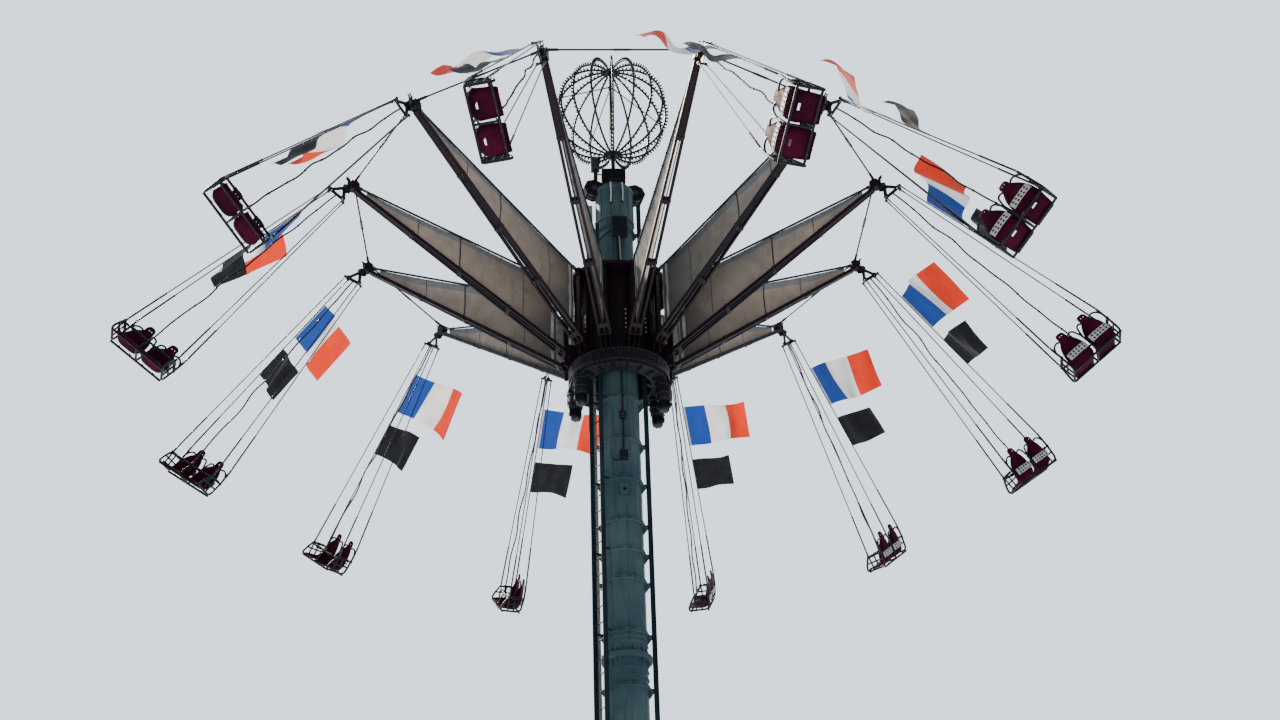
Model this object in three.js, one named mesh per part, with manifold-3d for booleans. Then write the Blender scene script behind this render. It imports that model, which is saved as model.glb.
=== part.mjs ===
// Tower swing ride: a lattice-free steel column with a lifting carriage, a star of twelve
// sail-covered arms that turns on it, and twelve two-seat chairs hung on cables.
// Millimetres, +Z up. The origin is the middle of the underside of the base flange.

import * as THREE from 'three';
import { mergeVertices } from 'three/addons/utils/BufferGeometryUtils.js';
import Module from 'manifold-3d';

const wasm = await Module();
wasm.setup();

// Driving dimensions.
const armCount = 12;
const armPitch = 360 / armCount;
const firstArmAzimuth = -15;
const ringZ = 21250;
const tipRadius = 5200;
const pivotRadius = 5295;
const pivotDrop = 60;
const swingOut = 37;
const restGap = 0.3;

const columnRadius = 355;
const columnSides = 12;
const columnTop = ringZ + 780;
const spliceZ = ringZ - 9080;
const collarRadius = 395;
const collarHeight = 60;
const railInner = 430;
const railOuter = 520;
const railHalfWidth = 30;
const railTop = ringZ + 540;

const hubTopZ = -1500;
const hubBottomZ = -3640;
const rootRadius = 1075;
const armRootZ = -3098;
const armTipZ = -34;
const stayRootZ = -1580;
const stayTipZ = 20;
const stayTipRadius = 5150;

const globeCentreZ = 2938;
const globeRadius = 1120;

const radians = (degrees) => (degrees * Math.PI) / 180;

// A closed body for fusing and cutting, from indexed triangles.
function wrap(geometry) {
  return new wasm.Manifold(new wasm.Mesh({
    numProp: 3,
    vertProperties: new Float32Array(geometry.attributes.position.array),
    triVerts: new Uint32Array(geometry.index.array),
  }));
}

// The same from any closed geometry: corners are shared and flat triangles left out.
function bodyOf(geometry) {
  const bare = geometry.clone();
  bare.deleteAttribute('normal');
  bare.deleteAttribute('uv');
  const merged = mergeVertices(bare, 1e-3);
  const corners = [];
  for (let i = 0; i < merged.index.count; i += 3) {
    const a = merged.index.getX(i);
    const b = merged.index.getX(i + 1);
    const c = merged.index.getX(i + 2);
    if (a !== b && b !== c && c !== a) {
      corners.push(a, b, c);
    }
  }
  merged.setIndex(corners);
  return wrap(merged);
}

function geometryOf(body) {
  const mesh = body.getMesh();
  const geometry = new THREE.BufferGeometry();
  geometry.setAttribute('position', new THREE.BufferAttribute(new Float32Array(mesh.vertProperties), 3));
  geometry.setIndex(new THREE.BufferAttribute(new Uint32Array(mesh.triVerts), 1));
  geometry.computeVertexNormals();
  return geometry;
}

function fuse(bodies) {
  return bodies.reduce((sum, body) => sum.add(body));
}

// A box between two corners.
function box(low, high) {
  const size = high.map((value, i) => value - low[i]);
  const geometry = new THREE.BoxGeometry(...size);
  geometry.translate(...low.map((value, i) => value + size[i] / 2));
  return bodyOf(geometry);
}

// A straight bar between two upright rectangles that face along X.
function loft(start, end) {
  const corner = (s, y, z) => [s.x, s.y + y * s.halfWidth, s.z + z * s.halfHeight];
  const points = [];
  for (const s of [start, end]) {
    points.push(corner(s, -1, -1), corner(s, 1, -1), corner(s, 1, 1), corner(s, -1, 1));
  }
  const geometry = new THREE.BufferGeometry();
  geometry.setAttribute('position', new THREE.Float32BufferAttribute(points.flat(), 3));
  geometry.setIndex([
    0, 2, 1, 0, 3, 2,
    4, 5, 6, 4, 6, 7,
    0, 1, 5, 0, 5, 4,
    1, 2, 6, 1, 6, 5,
    2, 3, 7, 2, 7, 6,
    3, 0, 4, 3, 4, 7,
  ]);
  return bodyOf(geometry);
}

// A round or polygonal rod between two points.
function rod(from, to, radius, sides, twist = 0) {
  const start = new THREE.Vector3(...from);
  const end = new THREE.Vector3(...to);
  const geometry = new THREE.CylinderGeometry(radius, radius, start.distanceTo(end), sides);
  geometry.rotateY(radians(twist));
  geometry.applyQuaternion(new THREE.Quaternion().setFromUnitVectors(
    new THREE.Vector3(0, 1, 0),
    end.clone().sub(start).normalize(),
  ));
  geometry.translate(...start.add(end).multiplyScalar(0.5).toArray());
  return bodyOf(geometry);
}

// A turned body about Z. The profile of [radius, z] closes on itself.
function turned(profile, sides, twist = 0) {
  const points = [...profile, profile[0]].map(([r, z]) => new THREE.Vector2(r, z));
  const geometry = new THREE.LatheGeometry(points, sides, radians(twist), Math.PI * 2);
  geometry.rotateX(Math.PI / 2);
  return bodyOf(geometry);
}

function tube(inner, outer, low, high, sides, twist = 0) {
  return turned([[inner, low], [outer, low], [outer, high], [inner, high]], sides, twist);
}

function disc(outer, low, high, sides, twist = 0) {
  return tube(0, outer, low, high, sides, twist);
}

// A flat plate: its outline lies in X and Z, its thickness runs along Y.
function uprightPlate(outline, low, high) {
  const shape = new THREE.Shape(outline.map(([x, z]) => new THREE.Vector2(x, z)));
  const geometry = new THREE.ExtrudeGeometry(shape, { depth: high - low, bevelEnabled: false });
  geometry.rotateX(Math.PI / 2);
  geometry.translate(0, high, 0);
  return bodyOf(geometry);
}

// A flat plate: its outline lies in Y and Z, its thickness runs along X.
function sidePlate(outline, low, high) {
  const shape = new THREE.Shape(outline.map(([y, z]) => new THREE.Vector2(y, z)));
  const geometry = new THREE.ExtrudeGeometry(shape, { depth: high - low, bevelEnabled: false });
  geometry.rotateX(Math.PI / 2);
  geometry.rotateZ(Math.PI / 2);
  geometry.translate(low, 0, 0);
  return bodyOf(geometry);
}

function placed(body, matrix) {
  return wrap(geometryOf(body).applyMatrix4(matrix));
}

// A body turned about Z to an azimuth. Azimuth 0 looks along -Y and grows towards +X.
function turnedTo(body, azimuth) {
  return placed(body, new THREE.Matrix4().makeRotationZ(radians(azimuth - 90)));
}

function moved(body, x, y, z) {
  return placed(body, new THREE.Matrix4().makeTranslation(x, y, z));
}

const finishes = {
  towerSteel: { color: 0x5b6a6a, roughness: 0.55, metalness: 0.4 },
  maroonSteel: { color: 0x3a1620, roughness: 0.45, metalness: 0.35 },
  tealSteel: { color: 0x1e3a42, roughness: 0.5, metalness: 0.35 },
  cableSteel: { color: 0x1b2430, roughness: 0.4, metalness: 0.7 },
  machinery: { color: 0x1c1f26, roughness: 0.5, metalness: 0.4 },
  sailcloth: { color: 0xb9a98c, roughness: 0.85, metalness: 0.0 },
  seatShell: { color: 0x6d1424, roughness: 0.35, metalness: 0.0 },
};

const materials = Object.fromEntries(
  Object.entries(finishes).map(([name, finish]) => [name, new THREE.MeshStandardMaterial(finish)]),
);

const ride = new THREE.Group();
ride.name = 'tower_swing_ride';

function addNode(parent, name, body, material) {
  const mesh = new THREE.Mesh(geometryOf(body), materials[material]);
  mesh.name = name;
  parent.add(mesh);
  return mesh;
}

// Column. Collars, guide rails with their brackets, base flange and splice.

const upperCollars = [-9600, -8640, -7680, -7140, -6570, -5760, -4950, -4090, -3100, -2130, -1160, -190];
const lowerCollarPitch = 970;

function columnShell(low, high) {
  return disc(columnRadius, low, high, columnSides);
}

function collar(z) {
  const half = collarHeight / 2;
  const parts = [disc(collarRadius, z - half, z + half, columnSides)];
  for (const side of [-1, 1]) {
    const xs = [side * (columnRadius + 20), side * (railInner + 10)].sort((a, b) => a - b);
    parts.push(box([xs[0], -22, z - half + 8], [xs[1], 22, z + half - 8]));
  }
  return fuse(parts);
}

function rails(low, high) {
  return [-1, 1].map((side) => {
    const xs = [side * railInner, side * railOuter].sort((a, b) => a - b);
    return box([xs[0], -railHalfWidth, low], [xs[1], railHalfWidth, high]);
  });
}

const spliceFlangeRadius = 430;
const spliceFlangeHeight = 45;
const baseFlangeRadius = 750;
const baseFlangeHeight = 40;
const gussetCount = 12;
const gussetHeight = 520;

function baseFlange() {
  const parts = [disc(baseFlangeRadius, 0, baseFlangeHeight, columnSides)];
  for (let i = 0; i < gussetCount; i += 1) {
    const azimuth = (360 / gussetCount) * i;
    parts.push(turnedTo(uprightPlate([
      [columnRadius - 20, baseFlangeHeight - 5],
      [baseFlangeRadius - 25, baseFlangeHeight - 5],
      [baseFlangeRadius - 25, baseFlangeHeight + 40],
      [columnRadius + 40, gussetHeight],
      [columnRadius - 20, gussetHeight],
    ], -12, 12), azimuth));
  }
  return fuse(parts);
}

const railFoot = gussetHeight + 130;
const lowerCollars = [];
for (let z = spliceZ - 520 - lowerCollarPitch; z > railFoot; z -= lowerCollarPitch) {
  lowerCollars.push(z);
}

const columnLower = fuse([
  columnShell(0, spliceZ - restGap / 2),
  baseFlange(),
  disc(spliceFlangeRadius, spliceZ - restGap / 2 - spliceFlangeHeight, spliceZ - restGap / 2, columnSides),
  collar(ringZ - 9600),
  ...lowerCollars.map(collar),
  ...rails(railFoot - 60, spliceZ - restGap / 2),
]);
addNode(ride, 'column_lower', columnLower, 'towerSteel');

// The supply conduit on the front of the upper column, with its cabinet, boxes and inspection plate.
const conduitAzimuth = 5;
const conduitBody = fuse([
  box([columnRadius - 20, -14, -5350], [430, 14, -510]),
  box([columnRadius - 40, -115, -520], [452, 200, -40]),
  box([columnRadius - 20, -60, -4580], [445, 60, -4440]),
  box([columnRadius - 20, -75, -5420], [450, 75, -5250]),
  box([columnRadius - 20, -100, -6110], [385, 100, -5890]),
]);

const columnUpper = fuse([
  columnShell(spliceZ + restGap / 2, columnTop),
  disc(spliceFlangeRadius, spliceZ + restGap / 2, spliceZ + restGap / 2 + spliceFlangeHeight, columnSides),
  ...upperCollars.slice(1).map((z) => collar(ringZ + z)),
  ...rails(spliceZ + restGap / 2, railTop),
  moved(turnedTo(conduitBody, conduitAzimuth), 0, 0, ringZ),
]);
addNode(ride, 'column_upper', columnUpper, 'towerSteel');

// Ladder, bracketed to the collars at the left of the front.
const ladderAzimuth = -60;
const ladderHalfWidth = 168;
const ladderReach = 515;
const stileHalf = 45;
const ladderLow = 600;
const ladderHigh = ringZ - 200;
const rungPitch = 300;

function ladder() {
  const pieces = [];
  for (const side of [-1, 1]) {
    const y = side * ladderHalfWidth;
    pieces.push(box(
      [ladderReach - stileHalf, y - 9, ladderLow],
      [ladderReach + stileHalf, y + 9, ladderHigh],
    ));
  }
  for (let z = ladderLow + 150; z < ladderHigh - 50; z += rungPitch) {
    pieces.push(box(
      [ladderReach - 11, -ladderHalfWidth + 4, z - 11],
      [ladderReach + 11, ladderHalfWidth - 4, z + 11],
    ));
  }
  const collars = [...lowerCollars, ringZ - 9600, ...upperCollars.slice(1).map((z) => ringZ + z)];
  const bracketed = collars.filter((z, i) => i % 2 === 0 && z > ladderLow + 100 && z < ladderHigh - 100);
  for (const z of bracketed) {
    for (const side of [-1, 1]) {
      const ys = [side * (ladderHalfWidth - 38), side * (ladderHalfWidth - 5)].sort((a, b) => a - b);
      pieces.push(box([300, ys[0], z - 20], [ladderReach, ys[1], z + 20]));
    }
  }
  return fuse(pieces).subtract(disc(collarRadius + restGap, 0, ringZ, columnSides, 90 - ladderAzimuth));
}
addNode(ride, 'ladder', turnedTo(ladder(), ladderAzimuth), 'tealSteel');

// Tower head: cap over the column top, two sheave housings, pedestal for the crown.
const capRadius = 392;
const capHeight = 830;
const capWall = 36;
const sheaveAzimuth = 102;
const sheaveReach = 420;
const sheaveZ = 850;
const sheaveRadius = 205;
const sheaveHalfWidth = 110;
const pedestalHalf = 240;
const pedestalLow = 1050;
const pedestalTop = 1300;
const mastFootTop = 1380;

function towerHead() {
  const parts = [
    tube(capRadius - capWall, capRadius, 0, capHeight, columnSides),
    disc(capRadius - 10, columnTop - ringZ + restGap, capHeight, columnSides),
  ];
  for (const side of [-1, 1]) {
    const x = side * sheaveReach;
    const housing = rod([x, -sheaveHalfWidth, sheaveZ], [x, sheaveHalfWidth, sheaveZ], sheaveRadius, 16);
    parts.push(turnedTo(housing, sheaveAzimuth));
  }
  for (const sx of [-1, 1]) {
    for (const sy of [-1, 1]) {
      const x = sx * (pedestalHalf - 40);
      const y = sy * (pedestalHalf - 40);
      parts.push(box([x - 30, y - 30, capHeight - 10], [x + 30, y + 30, pedestalLow + 20]));
    }
  }
  parts.push(box([-pedestalHalf, -pedestalHalf, pedestalLow], [pedestalHalf, pedestalHalf, pedestalTop]));
  parts.push(disc(150, pedestalTop - 10, mastFootTop, 16));
  const hollow = disc(capRadius - capWall, -10, columnTop - ringZ + restGap, columnSides);
  return fuse(parts).subtract(hollow);
}
addNode(ride, 'tower_head', moved(towerHead(), 0, 0, ringZ), 'maroonSteel');

// Crown globe: eight hoops through both poles, pole caps, mast and inner stays.
const hoopCount = 8;
const hoopSides = 16;
const hoopHalf = 20;
const mastRadius = 45;
const innerStayCount = 4;

function crownGlobe() {
  const hoop = turned([
    [globeRadius - hoopHalf, -hoopHalf],
    [globeRadius + hoopHalf, -hoopHalf],
    [globeRadius + hoopHalf, hoopHalf],
    [globeRadius - hoopHalf, hoopHalf],
  ], hoopSides);
  const upright = placed(hoop, new THREE.Matrix4().makeRotationX(Math.PI / 2));
  const parts = [];
  for (let i = 0; i < hoopCount; i += 1) {
    parts.push(turnedTo(upright, (180 / hoopCount) * i));
  }
  for (const pole of [-1, 1]) {
    parts.push(disc(120, pole * globeRadius - 32, pole * globeRadius + 32, 12));
  }
  parts.push(disc(mastRadius, mastFootTop + restGap - globeCentreZ, globeRadius, 8));
  for (let i = 0; i < innerStayCount; i += 1) {
    const azimuth = 22.5 + (360 / innerStayCount) * i;
    parts.push(turnedTo(rod([30, 0, 700], [globeRadius - 5, 0, 60], 14, 4), azimuth));
  }
  return fuse(parts);
}
addNode(ride, 'crown_globe', moved(crownGlobe(), 0, 0, ringZ + globeCentreZ), 'tealSteel');

// Lift carriage: a sleeve round the column with guide blocks on the rails and a bearing flange.
const sleeveInner = 605;
const sleeveOuter = 660;
const bearingGap = 0.4;

function liftCarriage() {
  const parts = [
    tube(sleeveInner, sleeveOuter, hubBottomZ - 20, -1700, 24),
    tube(sleeveInner, 905, hubBottomZ - 60, hubBottomZ - bearingGap, 24),
  ];
  for (const side of [-1, 1]) {
    for (const z of [-3560, -1960]) {
      const xs = [side * (railOuter + 0.5), side * (sleeveInner + 20)].sort((a, b) => a - b);
      parts.push(box([xs[0], -60, z - 120], [xs[1], 60, z + 120]));
    }
  }
  return fuse(parts);
}
addNode(ride, 'lift_carriage', moved(liftCarriage(), 0, 0, ringZ), 'machinery');

// Drive units: two geared motors on a plate under each side of the bearing flange.
const driveReach = 820;
const driveSpread = 20;
const driveAzimuth = 100;

function driveUnit() {
  const top = hubBottomZ - 60 - restGap;
  const parts = [box([650, -430, top - 40], [930, 430, top])];
  for (const side of [-1, 1]) {
    const x = driveReach * Math.cos(radians(driveSpread));
    const y = side * driveReach * Math.sin(radians(driveSpread));
    parts.push(moved(disc(155, top - 380, top - 20, 16), x, y, 0));
    parts.push(moved(disc(110, top - 600, top - 360, 12), x, y, 0));
  }
  return fuse(parts);
}
addNode(ride, 'drive_unit_left', moved(turnedTo(driveUnit(), driveAzimuth - 180), 0, 0, ringZ), 'machinery');
addNode(ride, 'drive_unit_right', moved(turnedTo(driveUnit(), driveAzimuth), 0, 0, ringZ), 'machinery');

// Star hub: a drum with its slewing ring round the foot and the shelf ring of the stays near the top.
const drumInner = 690;
const drumOuter = 780;
const hubSides = 24;
const hubTwist = armPitch / 4;
const slewingRadius = 952;
const slewingTopZ = hubBottomZ + 260;
const shelfRadius = 1066;
const shelfLowZ = -1600;
const shelfTopZ = -1540;

const star = new THREE.Group();
star.name = 'star';
star.position.z = ringZ;
ride.add(star);

const hubRing = (inner, outer, low, high) => tube(inner, outer, low, high, hubSides, hubTwist);
const ringInner = drumOuter + restGap;
addNode(star, 'hub_drum', hubRing(drumInner, drumOuter, hubBottomZ, hubTopZ), 'maroonSteel');
addNode(star, 'slewing_ring', hubRing(ringInner, slewingRadius, hubBottomZ, slewingTopZ), 'machinery');
addNode(star, 'shelf_ring', hubRing(ringInner, shelfRadius, shelfLowZ, shelfTopZ), 'maroonSteel');

// One arm, with X outwards from the tower and Z = 0 at the tip ring.
const armSlope = (armTipZ - armRootZ) / (tipRadius - rootRadius);
const armEnd = 5120;
const boxedFrom = 4004;
const armAxisZ = (r) => armTipZ - (tipRadius - r) * armSlope;
const armHalfDepth = 45;
const armHalfWidth = (r) => 125 - 60 * ((r - rootRadius) / (tipRadius - rootRadius));
const stayAxisZ = (r) => stayRootZ + (r - rootRadius) * ((stayTipZ - stayRootZ) / (stayTipRadius - rootRadius));
const stayHalf = 24;
const stayLengthen = Math.hypot(1, (stayTipZ - stayRootZ) / (stayTipRadius - rootRadius));
const trackRise = 14;

function armSection(x, y, halfWidth, rise = 0) {
  return { x, y, z: armAxisZ(x) + rise / 2, halfWidth, halfHeight: armHalfDepth + rise / 2 };
}

const battens = [1180, 2132, 3068];
const battenHalf = 35;
const tubeWidth = 40;
const trackHalf = 15;

// The open strips of one bay, between the outer tubes and the centre track.
function bayOpenings(from, to) {
  return [-1, 1].map((side) => {
    const end = (r) => {
      const inner = trackHalf;
      const outer = armHalfWidth(r) - tubeWidth;
      return {
        x: r, y: side * (inner + outer) / 2, z: armAxisZ(r), halfWidth: (outer - inner) / 2, halfHeight: 300,
      };
    };
    return loft(end(from), end(to));
  });
}

// The windowed plate that stands on the drum and carries the roots of beam and stay.
const padHalfHeight = 92;

function rootBracket() {
  const reach = rootRadius + 10;
  const plate = box([740, -20, slewingTopZ], [1062, 20, shelfLowZ]).subtract(box([840, -40, -2920], [985, 40, -1760]));
  const pads = [
    box([1040, -130, armRootZ - padHalfHeight], [rootRadius, 130, armRootZ + padHalfHeight]),
    box([1040, -60, stayRootZ - 70], [reach, 60, stayRootZ + 70]),
  ];
  const hub = [
    disc(drumOuter + restGap, hubBottomZ, hubTopZ, hubSides, hubTwist),
    disc(slewingRadius + restGap, hubBottomZ, slewingTopZ + restGap, hubSides, hubTwist),
    disc(shelfRadius + restGap, shelfLowZ - restGap, shelfTopZ + restGap, hubSides, hubTwist),
  ];
  return fuse([plate, ...pads]).subtract(fuse(hub));
}

function arm() {
  const root = rootRadius - 10;
  let beam = loft(armSection(root, 0, armHalfWidth(root)), armSection(armEnd, 0, armHalfWidth(armEnd)));
  const bayEnds = [...battens, boxedFrom];
  for (let i = 0; i < battens.length; i += 1) {
    for (const opening of bayOpenings(bayEnds[i] + battenHalf, bayEnds[i + 1] - battenHalf)) {
      beam = beam.subtract(opening);
    }
  }
  const parts = [rootBracket(), beam];
  parts.push(loft(armSection(root, 0, trackHalf, trackRise), armSection(armEnd, 0, trackHalf, trackRise)));
  const stayHeight = stayHalf * stayLengthen;
  parts.push(loft(
    { x: rootRadius, y: 0, z: stayAxisZ(rootRadius), halfWidth: stayHalf, halfHeight: stayHeight },
    { x: armEnd, y: 0, z: stayAxisZ(armEnd), halfWidth: stayHalf, halfHeight: stayHeight },
  ));
  parts.push(box([5040, -75, -105], [5216, 75, 60]));
  for (const side of [-1, 1]) {
    parts.push(box([5200, Math.min(side * 35, side * 60), -150], [5345, Math.max(side * 35, side * 60), -20]));
  }
  parts.push(uprightPlate([
    [5215, -60], [5236, -60], [5236, 5], [5262, 20], [5262, 120], [5300, 180], [5280, 195], [5215, 130],
  ], -30, 30));
  parts.push(rod([pivotRadius, -50, -pivotDrop], [pivotRadius, 50, -pivotDrop], 20, 8));
  return fuse(parts);
}

// One sail: a thin sheet between the centre track of the arm and the stay above it.
const sailInner = 1190;
const sailOuter = 4880;

function sail() {
  const lower = (r) => armAxisZ(r) + armHalfDepth + trackRise + restGap;
  const upper = (r) => stayAxisZ(r) - stayHalf * stayLengthen - restGap;
  return uprightPlate([
    [sailInner, lower(sailInner)], [sailOuter, lower(sailOuter)],
    [sailOuter, upper(sailOuter)], [sailInner, upper(sailInner)],
  ], -4, 4);
}

// The ring of tie rods from tip to tip, on a saddle plate over each arm.
const tieZ = 92;
const tieRadius = 20;
const saddleHalf = 85;

function tieRodRing() {
  const parts = [];
  const at = (azimuth, r) => [r * Math.sin(radians(azimuth)), -r * Math.cos(radians(azimuth)), tieZ];
  for (let i = 0; i < armCount; i += 1) {
    const azimuth = firstArmAzimuth + armPitch * i;
    const from = new THREE.Vector3(...at(azimuth, tipRadius - 60));
    const to = new THREE.Vector3(...at(azimuth + armPitch, tipRadius - 60));
    parts.push(rod(from.toArray(), to.toArray(), tieRadius, 6));
    parts.push(turnedTo(box([5070, -saddleHalf, 60 + restGap], [5200, saddleHalf, 84]), azimuth));
  }
  return fuse(parts);
}
addNode(star, 'tie_rod_ring', tieRodRing(), 'cableSteel');

// One suspension, with Z = 0 at the pin, X outwards and Y the way the rider faces.
const spreaderDrop = 260;
const spreaderHalf = 180;
const seatLevel = -5350;
const rearHook = { x: 560, y: -110, z: seatLevel + 500 };
const frontHook = { x: 560, y: 220, z: seatLevel + 280 };
const cableRadius = 8;
const lugHalf = 18;

function hangingCable(start, hook) {
  return fuse([
    rod(start, [hook.x, hook.y, hook.z + 30], cableRadius, 4),
    box(
      [hook.x - lugHalf, hook.y - lugHalf, hook.z + restGap],
      [hook.x + lugHalf, hook.y + lugHalf, hook.z + 60],
    ),
  ]);
}

// A flag is a flat sheet that trails from the outer rear cable.
const nationalFlag = { top: -950, length: 900, fly: 1420 };
const plainFlag = { top: -2050, length: 700, fly: 860 };

function cableAt(start, hook, z) {
  const share = (start[2] - z) / (start[2] - hook.z);
  return [start[0] + (hook.x - start[0]) * share, start[1] + (hook.y - start[1]) * share];
}

const hemHalf = 10;

function flag(start, flagSize) {
  const [x, y] = cableAt(start, rearHook, flagSize.top - flagSize.length / 2);
  const sheet = loft(
    { x: -12, y: 0, z: 0, halfWidth: hemHalf, halfHeight: flagSize.length / 2 },
    { x: flagSize.fly, y: 0, z: 0, halfWidth: 4, halfHeight: flagSize.length / 2 },
  );
  const lean = Math.atan((rearHook.x - start[0]) / (start[2] - rearHook.z));
  const pose = new THREE.Matrix4().makeRotationY(-lean);
  pose.multiply(new THREE.Matrix4().makeRotationZ(-Math.PI / 2));
  return moved(placed(sheet, pose), x, y, flagSize.top - flagSize.length / 2);
}

const eyeRadius = 48;
const eyeHoleRadius = 22.1;
const eyeHalf = 20;

function suspension() {
  const parts = [
    uprightPlate([
      [-spreaderHalf, -spreaderDrop],
      [spreaderHalf, -spreaderDrop],
      [40, -15],
      [-40, -15],
    ], -10, 10),
    rod([0, -eyeHalf, 0], [0, eyeHalf, 0], eyeRadius, 8),
    hangingCable([0, 0, -spreaderDrop + 20], { x: 0, y: 240, z: seatLevel + 230 }),
    flag([spreaderHalf, -65, -spreaderDrop], nationalFlag),
    flag([spreaderHalf, -65, -spreaderDrop], plainFlag),
  ];
  for (const side of [-1, 1]) {
    const x = side * spreaderHalf;
    parts.push(box([x - 18, -80, -spreaderDrop - 18], [x + 18, 80, -spreaderDrop + 18]));
    parts.push(hangingCable([x, -65, -spreaderDrop], { ...rearHook, x: side * rearHook.x }));
    parts.push(hangingCable([x, 65, -spreaderDrop], { ...frontHook, x: side * frontHook.x }));
  }
  return fuse(parts).subtract(rod([0, -30, 0], [0, 30, 0], eyeHoleRadius, 8, 22.5 + swingOut));
}

// One two-seat chair in the same frame: tube frame, two moulded shells and a back panel.
const frameHalf = 560;
const frameTube = 19;
const shellHalf = 225;
const shellCentre = 262;

// The side of the frame: an upright loop with an armrest across it, cut from one outline.
function chairSide(x) {
  const z = seatLevel;
  const loop = sidePlate([
    [-85, z - 80], [420, z - 80], [420, z - 40], [238, z + 280], [202, z + 280], [190, z + 260],
    [-75, z + 260], [-92, z + 500], [-128, z + 500],
  ], x - frameTube, x + frameTube);
  const lower = sidePlate([[-50, z - 42], [365, z - 42], [302, z + 82], [-62, z + 82]], x - 30, x + 30);
  const upper = sidePlate([[-68, z + 120], [282, z + 120], [226, z + 222], [-75, z + 222]], x - 30, x + 30);
  return loop.subtract(lower).subtract(upper);
}

function chairShell(x) {
  const z = seatLevel;
  const back = uprightPlate([
    [-shellHalf, -60], [shellHalf, -60], [shellHalf - 50, 400],
    [80, 490], [60, 620], [-60, 620], [-80, 490], [-shellHalf + 50, 400],
  ], -95, -58);
  return [
    moved(back, x, 0, z),
    box([x - shellHalf + 10, -70, z - 78], [x + shellHalf - 10, 400, z - 43]),
  ];
}

function chair() {
  const z = seatLevel;
  const crossBar = (y, height, half) => box(
    [-frameHalf, y - half, z + height - half],
    [frameHalf, y + half, z + height + half],
  );
  return fuse([
    chairSide(-frameHalf),
    chairSide(frameHalf),
    crossBar(-78, 380, 14),
    crossBar(360, -60, 14),
    crossBar(230, 211, frameTube),
    ...chairShell(-shellCentre),
    ...chairShell(shellCentre),
  ]);
}

const armBody = arm();
const sailBody = sail();
const suspensionBody = suspension();
const chairBody = chair();

for (let i = 0; i < armCount; i += 1) {
  const number = String(i + 1).padStart(2, '0');
  const spoke = new THREE.Group();
  spoke.name = `spoke_${number}`;
  spoke.rotation.z = radians(firstArmAzimuth + armPitch * i - 90);
  star.add(spoke);
  addNode(spoke, `arm_${number}`, armBody, 'maroonSteel');
  addNode(spoke, `sail_${number}`, sailBody, 'sailcloth');

  const swing = new THREE.Group();
  swing.name = `swing_${number}`;
  swing.position.set(pivotRadius, 0, -pivotDrop);
  swing.rotation.y = -radians(swingOut);
  spoke.add(swing);
  addNode(swing, `suspension_${number}`, suspensionBody, 'cableSteel');
  addNode(swing, `chair_${number}`, chairBody, 'seatShell');
}

export default ride;
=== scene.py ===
from itertools import product
from math import atan2, ceil, cos, hypot, pi, radians, sin

import bmesh
import bpy
from mathutils import Matrix, Vector


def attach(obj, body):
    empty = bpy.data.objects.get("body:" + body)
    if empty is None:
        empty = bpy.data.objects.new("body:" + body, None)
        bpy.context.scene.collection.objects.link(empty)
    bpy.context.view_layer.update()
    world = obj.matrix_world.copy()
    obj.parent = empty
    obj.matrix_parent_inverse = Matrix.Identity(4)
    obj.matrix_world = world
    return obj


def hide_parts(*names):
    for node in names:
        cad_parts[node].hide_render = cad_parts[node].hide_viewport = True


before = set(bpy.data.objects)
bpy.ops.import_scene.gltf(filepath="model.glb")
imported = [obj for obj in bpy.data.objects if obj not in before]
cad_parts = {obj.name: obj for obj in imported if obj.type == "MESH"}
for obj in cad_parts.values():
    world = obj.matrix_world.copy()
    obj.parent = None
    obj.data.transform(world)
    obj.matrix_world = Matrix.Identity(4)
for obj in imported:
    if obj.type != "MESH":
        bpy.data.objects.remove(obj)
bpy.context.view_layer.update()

# The ride in metres: +Z up, the photographer stands on the -Y side.
ride = {
    "arms": 12,
    "firstAzimuth": -15.0,
    "ringHeight": 21.25,
    "tipRadius": 5.2,
    "pivotRadius": 5.295,
    "pivotDrop": 0.06,
    "swingOut": 37.0,
    "seatLevel": -5.35,
}


def move(x, y, z):
    return Matrix.Translation((x, y, z))


def turnZ(angle):
    return Matrix.Rotation(angle, 4, "Z")


def armFrame(index):
    # X runs out along the arm, Z = 0 is the level of the tip ring
    azimuth = ride["firstAzimuth"] + 360 / ride["arms"] * index
    turn = turnZ(radians(azimuth - 90))
    return turn @ move(0, 0, ride["ringHeight"])


def swingFrame(index):
    # origin on the pin, X sideways and outwards, Y the way the rider faces
    lean = Matrix.Rotation(-radians(ride["swingOut"]), 4, "Y")
    return armFrame(index) @ move(ride["pivotRadius"], 0, -ride["pivotDrop"]) @ lean


# Camera.

photo = {
    "distance": 5.043,      # from the tower axis, in tip radii
    "drop": 3.778,          # below the tip ring, in tip radii
    "pitch": 32.24,
    "yaw": 0.879,
    "roll": -2.103,
    "starTurn": 2.21,       # the star had turned this far when the picture was taken
    "focalPixels": 1656.1,
    "pictureWidth": 1280.0,
}


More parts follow.
